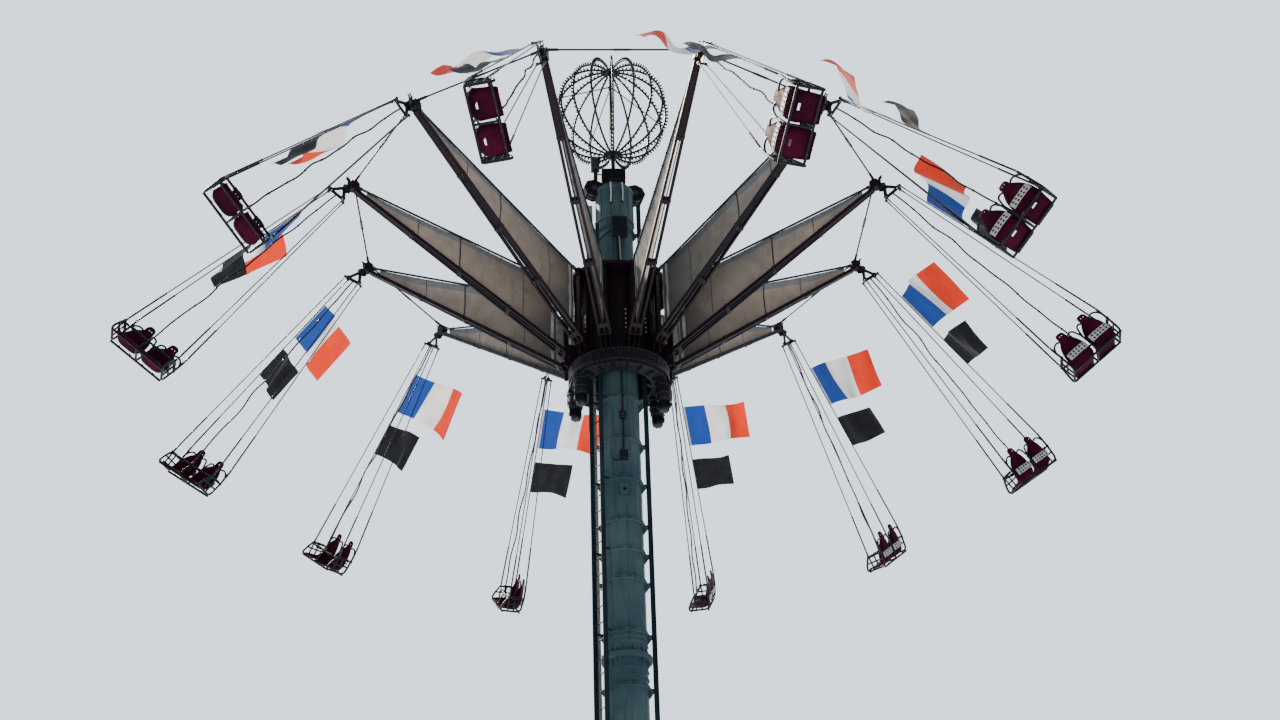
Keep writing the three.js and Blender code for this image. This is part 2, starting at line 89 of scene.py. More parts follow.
def makeCamera():
    pitch, yaw, roll = (radians(photo[k]) for k in ("pitch", "yaw", "roll"))
    forward = Vector((sin(yaw) * cos(pitch), cos(yaw) * cos(pitch), sin(pitch)))
    level = Vector((cos(yaw), -sin(yaw), 0))
    upright = level.cross(forward)
    right = level * cos(roll) + upright * sin(roll)
    up = upright * cos(roll) - level * sin(roll)
    place = Vector((0, -photo["distance"], -photo["drop"])) * ride["tipRadius"]
    place.z += ride["ringHeight"]
    pose = Matrix((right, up, -forward)).transposed().to_4x4()
    pose.translation = place
    data = bpy.data.cameras.new("photoCamera")
    data.lens = photo["focalPixels"] / photo["pictureWidth"] * 36
    data.sensor_width = 36
    data.clip_end = 500
    camera = bpy.data.objects.new("photoCamera", data)
    bpy.context.scene.collection.objects.link(camera)
    camera.matrix_world = turnZ(-radians(photo["starTurn"])) @ pose
    bpy.context.scene.camera = camera


makeCamera()
print("camera placed")

# Small modelling kit: every helper returns a bmesh that Build joins into one piece.


def along(start, end):
    # a matrix that lays local Z from start to end
    start, end = Vector(start), Vector(end)
    return Matrix.Translation(start) @ (end - start).to_track_quat("Z", "Y").to_matrix().to_4x4()


def facing(at, way):
    # a matrix that lays local Z from the point in the given direction
    return along(at, Vector(at) + Vector(way))


def turns(count, offset=0.0):
    # placements spread evenly round the Z axis
    return [turnZ(2 * pi * (k + offset) / count) for k in range(count)]


def fullTurn(count):
    return [2 * pi * k / count for k in range(count)]


def softened(bm, bevel):
    if bevel:
        bmesh.ops.bevel(bm, geom=bm.edges[:], offset=bevel, segments=1, profile=0.6, affect="EDGES")
    return bm


def ringShape(rings):
    # a skin over equal rings of points, with a face at each end
    bm = bmesh.new()
    rings = [[bm.verts.new(p) for p in ring] for ring in rings]
    for lower, upper in zip(rings, rings[1:]):
        for k in range(len(lower)):
            j = (k + 1) % len(lower)
            bm.faces.new((lower[k], lower[j], upper[j], upper[k]))
    bm.faces.new(rings[0][::-1])
    bm.faces.new(rings[-1])
    return bm


def gridShape(points, flat, slot=None, skip=None):
    # a sheet over rows of points; flat holds the UV value of each point
    bm = bmesh.new()
    uv = bm.loops.layers.uv.new("UVMap")
    grid = [[bm.verts.new(p) for p in row] for row in points]
    for j in range(len(grid) - 1):
        for k in range(len(grid[0]) - 1):
            if skip and skip(j, k):
                continue
            corners = ((j, k), (j + 1, k), (j + 1, k + 1), (j, k + 1))
            face = bm.faces.new([grid[a][b] for a, b in corners])
            face.material_index = slot(j, k) if slot else 0
            for loop, (a, b) in zip(face.loops, corners):
                loop[uv].uv = flat[a][b]
    return bm


def blockShape(first, second, bevel=0.0):
    # a box between two opposite corners
    low, high = (Vector([pick(pair) for pair in zip(first, second)]) for pick in (min, max))
    bm = bmesh.new()
    bmesh.ops.create_cube(bm, size=1.0)
    bm.transform(Matrix.Translation((high + low) / 2) @ Matrix.Diagonal((*(high - low), 1)))
    return softened(bm, bevel)


def loftShape(start, end, bevel=0.0):
    # start and end are (x, y, z, halfWidth, halfHeight): upright rectangles facing along X
    corners = ((-1, -1), (1, -1), (1, 1), (-1, 1))
    return softened(ringShape([[(x, y + a * w, z + b * h) for a, b in corners] for x, y, z, w,
                               h in (start, end)]),
                    bevel)


def turnedShape(profile, sides=32):
    # profile of (radius, z), bottom to top on the outside; radius 0 closes on the axis
    bm = bmesh.new()
    rings = [[bm.verts.new((x, y, z)) for x, y in (circle(0, 0, r, sides) if r else [(0, 0)])] for r,
             z in profile]
    for lower, upper in zip(rings, rings[1:]):
        for k in range(sides):
            j = (k + 1) % sides
            corners = [ring[n % len(ring)] for ring,
                       n in ((lower, k), (lower, j), (upper, j), (upper, k))]
            loop = list(dict.fromkeys(corners))
            if len(loop) > 2:
                bm.faces.new(loop)
    return bm


def ringProfile(inner, outer, low, high, bevel):
    # section of a ring whose outer edges are broken
    return [(inner, low), (outer - bevel, low), (outer, low + bevel), (outer, high - bevel),
            (outer - bevel, high),
            (inner, high), (inner, low)]


def tubeShape(points, radius, sides=10, closed=False):
    # a round bar through the points; radius may be one number or one for each point
    points = [Vector(p) for p in points]
    count = len(points)
    radii = radius if hasattr(radius, "__len__") else [radius] * count
    bm = bmesh.new()
    uv = bm.loops.layers.uv.new("UVMap")
    tangents = []
    for k in range(count):
        before = points[k - 1] if k or closed else points[k]
        after = points[(k + 1) % count] if k + 1 < count or closed else points[k]
        tangents.append((after - before).normalized())
    side = tangents[0].orthogonal().normalized()
    rings, run, lengths = [], 0.0, []
    for k in range(count):
        if k:
            side = tangents[k - 1].rotation_difference(tangents[k]) @ side
            run += (points[k] - points[k - 1]).length
        lengths.append(run)
        other = tangents[k].cross(side)
        rings.append([bm.verts.new(points[k] + side * x + other * y) for x,
                      y in circle(0, 0, radii[k], sides)])
    for a in range(count if closed else count - 1):
        b = (a + 1) % count
        for j in range(sides):
            corners = ((a, j), (a, j + 1), (b, j + 1), (b, j))
            face = bm.faces.new([rings[ring][n % sides] for ring, n in corners])
            for loop, (ring, n) in zip(face.loops, corners):
                loop[uv].uv = (n / sides, lengths[ring])
    if not closed:
        bm.faces.new(rings[0][::-1])
        bm.faces.new(rings[-1])
    return bm


def bent(points, radius, steps=5):
    # the same path with each inner corner rounded to the radius
    points = [Vector(p) for p in points]
    path = [points[0]]
    for before, corner, after in zip(points, points[1:], points[2:]):
        reach = min(radius, (before - corner).length * 0.45, (after - corner).length * 0.45)
        a = corner + (before - corner).normalized() * reach
        b = corner + (after - corner).normalized() * reach
        for k in range(steps + 1):
            t = k / steps
            path.append(a * (1 - t) ** 2 + corner * 2 * t * (1 - t) + b * t ** 2)
    path.append(points[-1])
    return path


def plateShape(loops, thickness, bevel=0.0):
    # a flat plate in XY from 2D loops: the first is the outline, the others are holes
    curve = bpy.data.curves.new("plate", "CURVE")
    curve.dimensions = "2D"
    curve.fill_mode = "BOTH"
    curve.extrude = thickness / 2 - bevel
    curve.bevel_depth = bevel
    curve.bevel_resolution = 0
    curve.offset = -bevel
    for loop in loops:
        spline = curve.splines.new("POLY")
        spline.points.add(len(loop) - 1)
        for point, (x, y) in zip(spline.points, loop):
            point.co = (x, y, 0, 1)
        spline.use_cyclic_u = True
    holder = bpy.data.objects.new("plate", curve)
    mesh = holder.to_mesh()
    bm = bmesh.new()
    bm.from_mesh(mesh)
    bmesh.ops.remove_doubles(bm, verts=bm.verts, dist=1e-5)
    holder.to_mesh_clear()
    bpy.data.objects.remove(holder)
    bpy.data.curves.remove(curve)
    return bm


def circle(x, y, r, sides=20):
    return [(x + r * cos(t), y + r * sin(t)) for t in fullTurn(sides)]


def roundedCorners(points, radius, steps=4):
    ring = [Vector((x, y, 0)) for x, y in points]
    path = bent([ring[-1], *ring, ring[0]], radius, steps)[1:-1]
    return [(p.x, p.y) for p in path]


def roundedBox(x0, x1, y0, y1, radius, steps=4):
    return roundedCorners([(x0, y0), (x1, y0), (x1, y1), (x0, y1)], radius, steps)


def boltShape(radius, height=None):
    # washer and hexagon head, standing on Z = 0
    height = height or radius * 1.1
    wide, thin = radius * 1.55, radius * 0.22
    b = Build()
    b.turned([(0, 0), (wide, 0), (wide, thin), (0, thin)], 12)
    b.turned([(0, 0), (radius, 0), (radius, height * 0.8), (radius * 0.85, height), (0, height)], 6)
    return b.bm


def smoothMesh(name, bm, materials):
    data = bpy.data.meshes.new(name)
    bm.to_mesh(data)
    bm.free()
    for material in materials:
        data.materials.append(material)
    data.shade_smooth()
    return data


upright = Matrix.Rotation(radians(90), 4, "X")     # a plate drawn in XY stands up in XZ
upsideDown = Matrix.Rotation(pi, 4, "X")
acrossX = Matrix(((0, 0, 1, 0), (1, 0, 0, 0), (0, 1, 0, 0), (0, 0, 0, 1)))     # drawn in XY, lands in YZ


class Build:
    def __init__(self, *materials):
        self.bm = bmesh.new()
        self.materials = materials

    def put(self, shape, slot=0, matrix=None, keep=False):
        for face in shape.faces:
            face.material_index = slot
        copy = shape.copy() if keep else shape
        if matrix is not None:
            copy.transform(matrix)
            if matrix.determinant() < 0:
                bmesh.ops.reverse_faces(copy, faces=copy.faces)
        mesh = bpy.data.meshes.new("part")
        copy.to_mesh(mesh)
        copy.free()
        self.bm.from_mesh(mesh)
        bpy.data.meshes.remove(mesh)

    def block(self, first, second, bevel=0, slot=0, matrix=None):
        self.put(blockShape(first, second, bevel), slot, matrix)

    def tube(self, points, radius, sides=10, slot=0, matrix=None, closed=False):
        self.put(tubeShape(points, radius, sides, closed), slot, matrix)

    def plate(self, loops, thickness, bevel=0, slot=0, matrix=None):
        self.put(plateShape(loops, thickness, bevel), slot, matrix)

    def turned(self, profile, sides=32, slot=0, matrix=None):
        self.put(turnedShape(profile, sides), slot, matrix)

    def bolt(self, radius, slot, matrix, height=None):
        self.put(boltShape(radius, height), slot, matrix)

    def ring(self, shape, radius, z, count, slot, offset=0.0, down=False):
        # copies of one shape set round the Z axis, local X outwards
        for turn in turns(count, offset):
            self.put(shape, slot, turn @ move(radius, 0, z) @ (upsideDown if down else Matrix()),
                     keep=True)
        shape.free()

    def mesh(self, name):
        data = smoothMesh(name, self.bm, self.materials)
        data.set_sharp_from_angle(angle=radians(32))
        return data


def addPiece(name, mesh, body, nodes=(), matrix=None):
    piece = bpy.data.objects.new(name, mesh)
    bpy.context.scene.collection.objects.link(piece)
    if matrix is not None:
        piece.matrix_world = matrix
    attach(piece, body)
    if nodes:
        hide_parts(*nodes)
    return piece


def number(index):
    return f"{index + 1:02d}"


# Finishes.


def tint(text):
    # a hex colour as the linear values that the shader wants
    values = [int(text[k:k + 2], 16) / 255 for k in (0, 2, 4)]
    return tuple(v / 12.92 if v <= 0.04045 else ((v + 0.055) / 1.055) ** 2.4 for v in values) + (1.0,)


class Finish:
    def __init__(self, name):
        self.material = bpy.data.materials.new(name)
        self.material.use_nodes = True
        self.tree = self.material.node_tree
        self.shader = self.tree.nodes["Principled BSDF"]

    def node(self, kind, **values):
        made = self.tree.nodes.new(kind)
        for key, value in values.items():
            if hasattr(made, key):
                setattr(made, key, value)
            else:
                made.inputs[key].default_value = value
        return made

    def link(self, out, into):
        self.tree.links.new(out, into)

    def feed(self, socket, value):
        # a constant goes into the socket itself, anything else is linked
        if isinstance(value, (int, float, tuple)):
            socket.default_value = value
        else:
            self.link(value, socket)

    def coords(self, scale=(1, 1, 1), output="Object"):
        source = self.node("ShaderNodeTexCoord")
        mapping = self.node("ShaderNodeMapping", Scale=scale)
        self.link(source.outputs[output], mapping.inputs["Vector"])
        return mapping.outputs["Vector"]

    def noise(self, size, detail=4.0, rough=0.55, stretch=(1, 1, 1), warp=0.0):
        made = self.node("ShaderNodeTexNoise", Scale=1 / size, Detail=detail, Roughness=rough,
                         Distortion=warp)
        self.link(self.coords(stretch), made.inputs["Vector"])
        return made.outputs["Fac"]

    def span(self, value, low, high, toLow=0.0, toHigh=1.0):
        made = self.node("ShaderNodeMapRange")
        for name, limit in (("From Min", low), ("From Max", high), ("To Min", toLow), ("To Max", toHigh)):
            made.inputs[name].default_value = limit
        self.link(value, made.inputs["Value"])
        return made.outputs["Result"]

    def mix(self, amount, first, second, blend="MIX"):
        made = self.node("ShaderNodeMix", data_type="RGBA", blend_type=blend)
        for socket, value in ((0, amount), (6, first), (7, second)):
            self.feed(made.inputs[socket], value)
        return made.outputs[2]

    def patchy(self, first, second, low, high, *grain):
        # two colours in patches
        return self.mix(self.span(self.noise(*grain), low, high), tint(first), tint(second))

    def cover(self, base, colour, low, high, most, *grain):
        # patches of a colour over what is there
        return self.mix(self.span(self.noise(*grain), low, high, 0, most), base, tint(colour))

    def gloss(self, smooth, matt, *grain):
        return self.span(self.noise(*grain), 0.3, 0.7, smooth, matt)

    def times(self, first, second, operation="MULTIPLY"):
        made = self.node("ShaderNodeMath", operation=operation)
        for socket, value in zip(made.inputs, (first, second)):
            self.feed(socket, value)
        return made.outputs[0]

    def bump(self, height, distance, strength=0.5, under=None):
        made = self.node("ShaderNodeBump", Strength=strength, Distance=distance)
        self.link(height, made.inputs["Height"])
        if under is not None:
            self.link(under, made.inputs["Normal"])
        return made.outputs["Normal"]

    def done(self, colour, roughness=None, normal=None, **sockets):
        for name, value in (("Base Color", colour), ("Roughness", roughness), ("Normal", normal)):
            if value is not None:
                self.link(value, self.shader.inputs[name])
        for name, value in sockets.items():
            self.shader.inputs[name.replace("_", " ")].default_value = value
        return self.material


def paintedSteel(name, colour, faded, grime, smooth=0.38, matt=0.6, wear=0.35, streaks=0.5, rust=0.0,
                 metal=0.0):
    # brushed-on paint: fading in patches, rain streaks down the steel, dust, chips down to primer or rust
    f = Finish(name)
    base = f.patchy(colour, faded, 0.35, 0.68, 0.9, 6)
    base = f.cover(base, grime, 0.5, 0.72, streaks, 0.07, 5, 0.6, (1, 1, 0.06))
    base = f.cover(base, faded, 0.55, 0.8, wear * 0.5, 0.02, 3, 0.7)
    if rust:
        base = f.cover(base, "5a2c17", 0.62, 0.7, rust, 0.05, 8, 0.72, (1, 1, 0.5))
    skin = f.bump(f.noise(0.05, 4), 0.0015, 0.25, f.bump(f.noise(0.004, 2), 0.0004, 0.25))
    return f.done(base, f.gloss(smooth, matt, 0.12, 5), skin, Metallic=metal, Specular_IOR_Level=0.2)


def strandedCable(name, colour, crownHighlight):
    # the lay of the strands winds round the cable; UV runs round and along it in metres
    f = Finish(name)
    split = f.node("ShaderNodeSeparateXYZ")
    f.link(f.coords(output="UV"), split.inputs[0])
    wind = f.times(f.times(split.outputs[0], 6.0), f.times(split.outputs[1], 40.0), "ADD")
    # lighter strand crowns and darker grooves between them: painted highlight and painted shade along the
    # lay; the same mask drives the bump
    shade = f.span(f.times(f.times(wind, 2 * pi), 0.0, "SINE"), -1, 1)
    base = f.mix(shade, tint(colour), tint(crownHighlight))
    base = f.cover(base, "2b2119", 0.5, 0.75, 0.5, 0.2, 4)
    return f.done(base, f.gloss(0.3, 0.5, 0.03, 3), f.bump(shade, 0.0012, 0.6), Metallic=0.2,
                  Specular_IOR_Level=0.25)


def zincBolt(name):
    f = Finish(name)
    base = f.cover(f.patchy("5c6064", "3b3d42", 0.35, 0.65, 0.02, 5), "4a2817", 0.6, 0.72, 0.8, 0.03, 6,
                   0.7)
    return f.done(base, f.gloss(0.32, 0.6, 0.01, 3), f.bump(f.noise(0.003, 2), 0.0003, 0.3), Metallic=0.8)


def mouldedShell(name):
    # matt moulded seat shell: deep burgundy in patches, scuffed and dusty
    f = Finish(name)
    base = f.patchy("460b28", "210616", 0.35, 0.7, 0.35, 5)
    base = f.cover(base, "552435", 0.6, 0.78, 0.25, 0.012, 6, 0.75, (1, 1, 0.3), 0.6)
    skin = f.bump(f.noise(0.12, 2), 0.002, 0.2, f.bump(f.noise(0.002, 2), 0.0002, 0.2))
    return f.done(base, f.gloss(0.5, 0.68, 0.08, 4), skin, Specular_IOR_Level=0.03)


def perforatedAluminium(name):
    f = Finish(name)
    base = f.cover(f.patchy("c6cbce", "9fa6aa", 0.35, 0.7, 0.1, 5), "4b4f52", 0.6, 0.8, 0.6, 0.02, 5, 0.7)
    brushed = f.noise(0.004, 3, 0.6, (0.05, 1, 1))
    return f.done(base, f.span(brushed, 0.3, 0.7, 0.45, 0.65), f.bump(brushed, 0.0003, 0.4),
                  Metallic=0.15,
                  Specular_IOR_Level=0.3)


def translucentCloth(f, colour, roughness, normal, through, glowColour=None):
    # cloth that glows when the light is behind it
    material = f.done(colour, roughness, normal, Specular_IOR_Level=0.2, Sheen_Weight=0.15)
    glow, blend = f.node("ShaderNodeBsdfTranslucent"), f.node("ShaderNodeMixShader", Fac=through)
    f.link(glowColour or colour, glow.inputs["Color"])
    f.link(normal, glow.inputs["Normal"])
    f.link(f.shader.outputs[0], blend.inputs[1])
    f.link(glow.outputs[0], blend.inputs[2])
    f.link(blend.outputs[0], f.tree.nodes["Material Output"].inputs["Surface"])
    return material


def weave(f, size, depth):
    # warp and weft threads, counted from the UV map in metres
    split = f.node("ShaderNodeSeparateXYZ")
    f.link(f.coords(output="UV"), split.inputs[0])
    threads = [f.times(f.times(split.outputs[k], 2 * pi / size), 0.0, "SINE") for k in (0, 1)]
    return f.bump(f.times(*threads), depth, 0.5), split.outputs[0]


def sailCloth(name, colour, shade, stain, warmth):
    # rain has run down from the stay; light that comes through is warmer than the cloth itself
    f = Finish(name)
    normal, fromHub = weave(f, 0.004, 0.0004)
    base = f.patchy(colour, shade, 0.35, 0.68, 0.8, 5)
    base = f.cover(base, stain, 0.52, 0.78, 0.55, 0.15, 6, 0.65, (1, 1, 0.35))
    normal = f.bump(f.noise(0.3, 3, 0.5, (1, 1, 0.5)), 0.01, 0.35, normal)
    # the cloth is painted darker towards the hub: painted shade from the neighbouring sails
    base = f.mix(f.span(fromHub, 0.0, 2.4, 0.78, 0.0), base, tint("2c3136"))
    warm = f.mix(0.9, base, tint(warmth), "MULTIPLY")
    return translucentCloth(f, base, f.gloss(0.7, 0.9, 0.1, 3), normal, 0.3, warm)


def stripedFlag(name, stripes, length):
    # three equal upright stripes, counted from the hoist along U
    f = Finish(name)
    normal, fromHoist = weave(f, 0.0035, 0.0003)
    ramp = f.node("ShaderNodeValToRGB")
    ramp.color_ramp.interpolation = "CONSTANT"
    steps = ramp.color_ramp.elements
    for k, colour in enumerate(stripes):
        step = steps[k] if k < 2 else steps.new(0.5)
        step.position = k / len(stripes)
        step.color = tint(colour)
    f.link(f.times(fromHoist, 1 / length), ramp.inputs[0])
    base = f.mix(f.span(f.noise(0.25, 5), 0.4, 0.75, 0, 0.22), ramp.outputs[0], tint("8f9499"),
                 "MULTIPLY")
    return translucentCloth(f, base, f.gloss(0.6, 0.85, 0.05, 3), normal, 0.4)


def plainCloth(name, colour, shade):
    f = Finish(name)
    base = f.patchy(colour, shade, 0.35, 0.7, 0.2, 5)
    return translucentCloth(f, base, f.gloss(0.6, 0.85, 0.05, 3), weave(f, 0.0035, 0.0003)[0], 0.2)


towerPaint = paintedSteel("towerPaint", "334d58", "4b636a", "1a2a31", 0.42, 0.65, 0.4, 0.6, 0.3)
# pale cream paint: painted highlight for the lit left rails and the lit strips of the arm track, also on
# one pale conduit run
palePaintAndHighlight = paintedSteel("palePaintAndHighlight", "8b8f88", "a3a59b", "4c5354", 0.35, 0.55, 0.4, 0.5, 0.3)
maroonPaint = paintedSteel("maroonPaint", "120814", "20101d", "08040b", 0.4, 0.6, 0.3, 0.4, 0.05)
tealPaint = paintedSteel("tealPaint", "102531", "1c3541", "0a141a", 0.35, 0.55, 0.3, 0.4, 0.12)
tubePaint = paintedSteel("tubePaint", "0e121c", "1b202b", "07080d", 0.35, 0.55, 0.4, 0.3, 0.06)
machinePaint = paintedSteel("machinePaint", "0f1119", "1f2129", "07070a", 0.4, 0.65, 0.3, 0.6, 0.06)
oilySteel = paintedSteel("oilySteel", "3a3d42", "565a5e", "15130f", 0.25, 0.5, 0.3, 0.6, 0.2, 0.7)
blackRubber = paintedSteel("blackRubber", "101113", "1b1c1e", "08080a", 0.6, 0.85, 0.3, 0.2)
cableSteel = strandedCable("cableSteel", "080b11", "1c232d")
boltZinc = zincBolt("boltZinc")
shellPlastic = mouldedShell("shellPlastic")
panelAluminium = perforatedAluminium("panelAluminium")
sailTan = sailCloth("sailTan", "b4afa9", "9c9791", "686462", "72554a")
sailEdge = sailCloth("sailEdge", "8e9396", "7a8185", "50575b", "6c6c72")
# near-white glass of the drum's lamps, also used as painted highlight streaks on the head's two pipes
lampGlassAndHighlight = paintedSteel("lampGlassAndHighlight", "e4e2d8", "c9c5b6", "8b8779", 0.12, 0.3, 0.2, 0.2)
print("finishes made")


# Suspension: spreader, four cables and the thick safety cable.

spreader = {
    "drop": 0.26,
    "half": 0.18,
    "barReach": 0.08,
    "barRadius": 0.019,
    "plateThickness": 0.014,
    "eyeRadius": 0.047,
    "eyeBore": 0.0225,
    "eyeHalf": 0.02,
}

cable = {
    "radius": 0.0115,
    "swageRadius": 0.0145,
    "swageLength": 0.11,
    "coverRadius": 0.0165,
    "coverLength": 0.78,
    "spread": 0.065,
    "rearHook": (0.56, -0.11, 0.50),
    "frontHook": (0.56, 0.22, 0.28),
    "safetyHook": (0.0, 0.24, 0.23),
    "safetyRadius": 0.015,
    "safetyWander": 0.022,
}


def spreaderMesh():
    s = spreader
    b = Build(tubePaint, boltZinc, oilySteel)
    half, drop, reach = s["half"], s["drop"], s["barReach"]
    foot = [(half + 0.012, 0.028), (half + 0.012, -0.016), (half - 0.03, -0.016)]
    outline = [(-x, z - drop) for x, z in foot] + [(x, z - drop) for x, z in foot[::-1]]
    outline += [(0.045 * cos(t), 0.045 * sin(t)) for t in [radians(-25 + 28.75 * k) for k in range(9)]]
    window = roundedCorners([(0, -0.078), (-0.098, -0.212), (0.098, -0.212)], 0.03)
    ears = [circle(side * 0.135, -0.235, 0.012, 12) for side in (-1, 1)]
    b.plate([outline, window, circle(0, 0, s["eyeBore"], 24), *ears], s["plateThickness"], 0.0015, 0,
            upright)
    b.turned(ringProfile(s["eyeBore"], s["eyeRadius"], -s["eyeHalf"], s["eyeHalf"], 0.003), 32, 0,
             upright)
    for x in (-half, half):
        b.tube([(x, -reach, -drop), (x, reach, -drop)], s["barRadius"], 18)
        for end in (-1, 1):
            b.bolt(0.017, 1, facing((x, end * reach, -drop), (0, end, 0)), 0.014)
            collar = [(0.019, -0.016), (0.029, -0.014), (0.030, 0), (0.029, 0.014), (0.019, 0.016)]
            b.turned(collar, 20, 2, facing((x, end * cable["spread"], -drop), (0, 1, 0)))
        # gusset from the plate to the bar
        wing = [(-0.055, 0), (0.055, 0), (0.03, 0.075), (-0.03, 0.075)]
        b.plate([roundedCorners(wing, 0.012)], 0.01, 0.001, 0, move(x * 0.93, 0, -drop - 0.004) @ acrossX)
    return b.mesh("spreader")


def cableRun(b, start, end):
    # swaged top fitting, bare cable, covered lower length and a forked bottom fitting with its pin
    way = (end - start).normalized()
    bare, swage, cover = cable["radius"], cable["swageRadius"], cable["coverRadius"]
    b.tube([start, end], bare, 8)
    top = [start + way * (0.01 + s) for s in (0, 0.02, cable["swageLength"], cable["swageLength"] + 0.02)]
    b.tube(top, [swage * 1.25, swage, swage, bare], 12, 1)
    low = end - way * 0.07
    high = low - way * cable["coverLength"]
    b.tube([high, high + way * 0.015, low, low + way * 0.01], [bare, cover, cover, bare], 12, 2)
    for k in range(3):
        at = high + way * (0.02 + 0.37 * k)
        b.tube([at, at + way * 0.02], cover * 1.15, 12, 1)
    b.tube([low, end + way * 0.006], swage * 1.15, 12, 1)


def cablesMesh():
    b = Build(cableSteel, oilySteel, blackRubber, boltZinc)
    z = -spreader["drop"]
    for side, (key, y) in product((-1, 1), (("rearHook", -cable["spread"]),
                                            ("frontHook", cable["spread"]))):
        x = side * spreader["half"]
        hx, hy, hz = cable[key]
        end = Vector((side * hx, hy, ride["seatLevel"] + hz + 0.045))
        cableRun(b, Vector((x, y, z - 0.015)), end)
        # shackle: a bow round the bar and its pin
        bow = [(x, y + 0.02 * cos(a), z + 0.006 - 0.034 * sin(a)) for a in [pi * k / 8 for k in range(9)]]
        b.tube(bow, 0.006, 8, 1)
        # fork over the lug of the chair frame
        for cheek in (-0.013, 0.013):
            b.block(end + Vector((cheek - 0.003, -0.014, -0.05)),
                    end + Vector((cheek + 0.003, 0.014, 0.012)), 0.0015, 1)
        b.block(end + Vector((-0.016, -0.014, -0.002)), end + Vector((0.016, 0.014, 0.014)), 0.002, 1)
        b.tube([end + Vector((-0.022, 0, -0.034)), end + Vector((0.022, 0, -0.034))], 0.006, 10, 3)
    # the safety cable wanders between its clamps
    hx, hy, hz = cable["safetyHook"]
    start, end = Vector((0, 0, z - 0.01)), Vector((hx, hy, ride["seatLevel"] + hz + 0.04))
    path, clamps = [], 9
    for k in range(clamps * 8 + 1):
        t = k / (clamps * 8)
        swell = sin(pi * min(1, t * 6, (1 - t) * 6) / 2)
        wave = Vector((sin(t * 23.0) + 0.5 * sin(t * 41.0 + 1.0), cos(t * 29.0 + 0.6), 0))
        path.append(start.lerp(end, t) + wave * cable["safetyWander"] * 0.7 * swell)
    b.tube(path, cable["safetyRadius"], 10, 2)
    for k in range(1, clamps):
        at, on = path[k * 8], path[k * 8 + 1]
        b.tube([at, at + (on - at).normalized() * 0.03], cable["safetyRadius"] * 1.35, 12, 1)
    b.block((hx - 0.017, hy - 0.017, end.z - 0.04), (hx + 0.017, hy + 0.017, end.z + 0.03), 0.003, 1)
    return b.mesh("cables")


# Flags: each hangs on the outer rear cable and trails behind the chair.

flags = {
    "stripedTop": 0.95, "stripedHoist": 0.90, "stripedLength": 1.50,
    "stripedWave": 0.62,
    "plainTop": 2.17, "plainHoist": 0.70, "plainLength": 0.90, "plainWave": 0.60,
    "stripes": ("1d3f8f", "d9dbe0", "d2361f"),
    "threadGap": 0.012,
}

flagStriped = stripedFlag("flagStriped", flags["stripes"], flags["stripedLength"])
flagBlack = plainCloth("flagBlack", "11131a", "1d2029")
hemWhite = plainCloth("hemWhite", "c4c7cc", "9da1a8")


def outerCable(z):
    # a point on the outer rear cable at this height in the swing's frame
    start = Vector((spreader["half"], -cable["spread"], -spreader["drop"]))
    hx, hy, hz = cable["rearHook"]
    end = Vector((hx, hy, ride["seatLevel"] + hz))
    return start.lerp(end, (start.z - z) / (start.z - end.z))


def flagMesh(name, kind, seed, materials):
    # every row keeps its flat length: it is walked in equal steps while the wave turns it
    top, hoist, length, strength = (flags[kind + key] for key in ("Top", "Hoist", "Length", "Wave"))
    rows, steps = 22, 44
    phase = seed * 1.7
    fold = 1.15 + 0.25 * sin(seed * 2.3)
    points = []
    for j in range(rows + 1):
        v = j / rows
        line = [outerCable(-top - hoist * v) - Vector((0, flags["threadGap"], 0))]
        for k in range(steps):
            u = (k + 0.5) / steps
            grow = min(1, u * 3)
            turn = strength * grow * cos(2 * pi * (fold * u - 0.22 * v) + phase)
            turn += 0.35 * strength * grow * cos(2 * pi * (2.6 * u + 0.35 * v) + phase * 2.1)
            fall = 0.10 * u + 0.16 * sin(2 * pi * (0.55 * u + 0.25 * v) + phase * 0.7) * grow
            fall += 0.5 * (v - 0.5) * 0.18 * u
            way = Vector((sin(turn), -cos(turn) * cos(fall), -sin(fall) * cos(turn)))
            line.append(line[-1] + way * (length / steps))
        points.append(line)
    flat = [[(k * length / steps, j * hoist / rows) for k in range(steps + 1)] for j in range(rows + 1)]
    return smoothMesh(name, gridShape(points, flat, lambda j, k: int(k == 0)), materials)


def flagTies(kind, count):
    # rope sewn in the hem, with a loop round the cable at each end
    b = Build(hemWhite)
    top, hoist = flags[kind + "Top"], flags[kind + "Hoist"]
    for k in range(count):
        middle = outerCable(-top - 0.02 - (hoist - 0.04) * k / (count - 1))
        ring = [middle + Vector((0.0145 * cos(a), 0.0165 * sin(a) - 0.002, 0.002 * sin(2 * a)))
                for a in fullTurn(12)]
        b.tube(ring, 0.0028, 6, closed=True)
    return b.mesh("flagTies")


def makeSuspensions():
    spreaderData, cableData = spreaderMesh(), cablesMesh()
    kinds = (("striped", flagTies("striped", 5), 0, (flagStriped, hemWhite)),
             ("plain", flagTies("plain", 4), 0.4, (flagBlack, flagBlack)))
    for index in range(ride["arms"]):
        n, pose, body = number(index), swingFrame(index), f"swing_{number(index)}"
        addPiece(f"spreader_{n}", spreaderData, body, [f"suspension_{n}"], pose)
        addPiece(f"cables_{n}", cableData, body, (), pose)
        for kind, ties, shift, materials in kinds:
            flag = addPiece(f"{kind}Flag_{n}", flagMesh(f"{kind}Flag", kind, index + shift, materials),
                            body, (), pose)
            knots = addPiece(f"{kind}FlagTies_{n}", ties, body, (), pose)
    print("suspensions and flags made")


makeSuspensions()


# Chairs: tube frame, two moulded shells, perforated back strips, lap bar.

chair = {
    "tube": 0.0215,
    "thinTube": 0.0175,
    "half": 0.56,
    "shellCentre": 0.262,
    "shellThickness": 0.011,
    "stripWidth": 0.42,
    "stripHeight": 0.13,
    "stripBottom": 0.085,
    "stripRows": 2,
    "stripColumns": 5,
    "stripHole": 0.0195,
    "shellRows": 48,
    "shellColumns": 18,
}

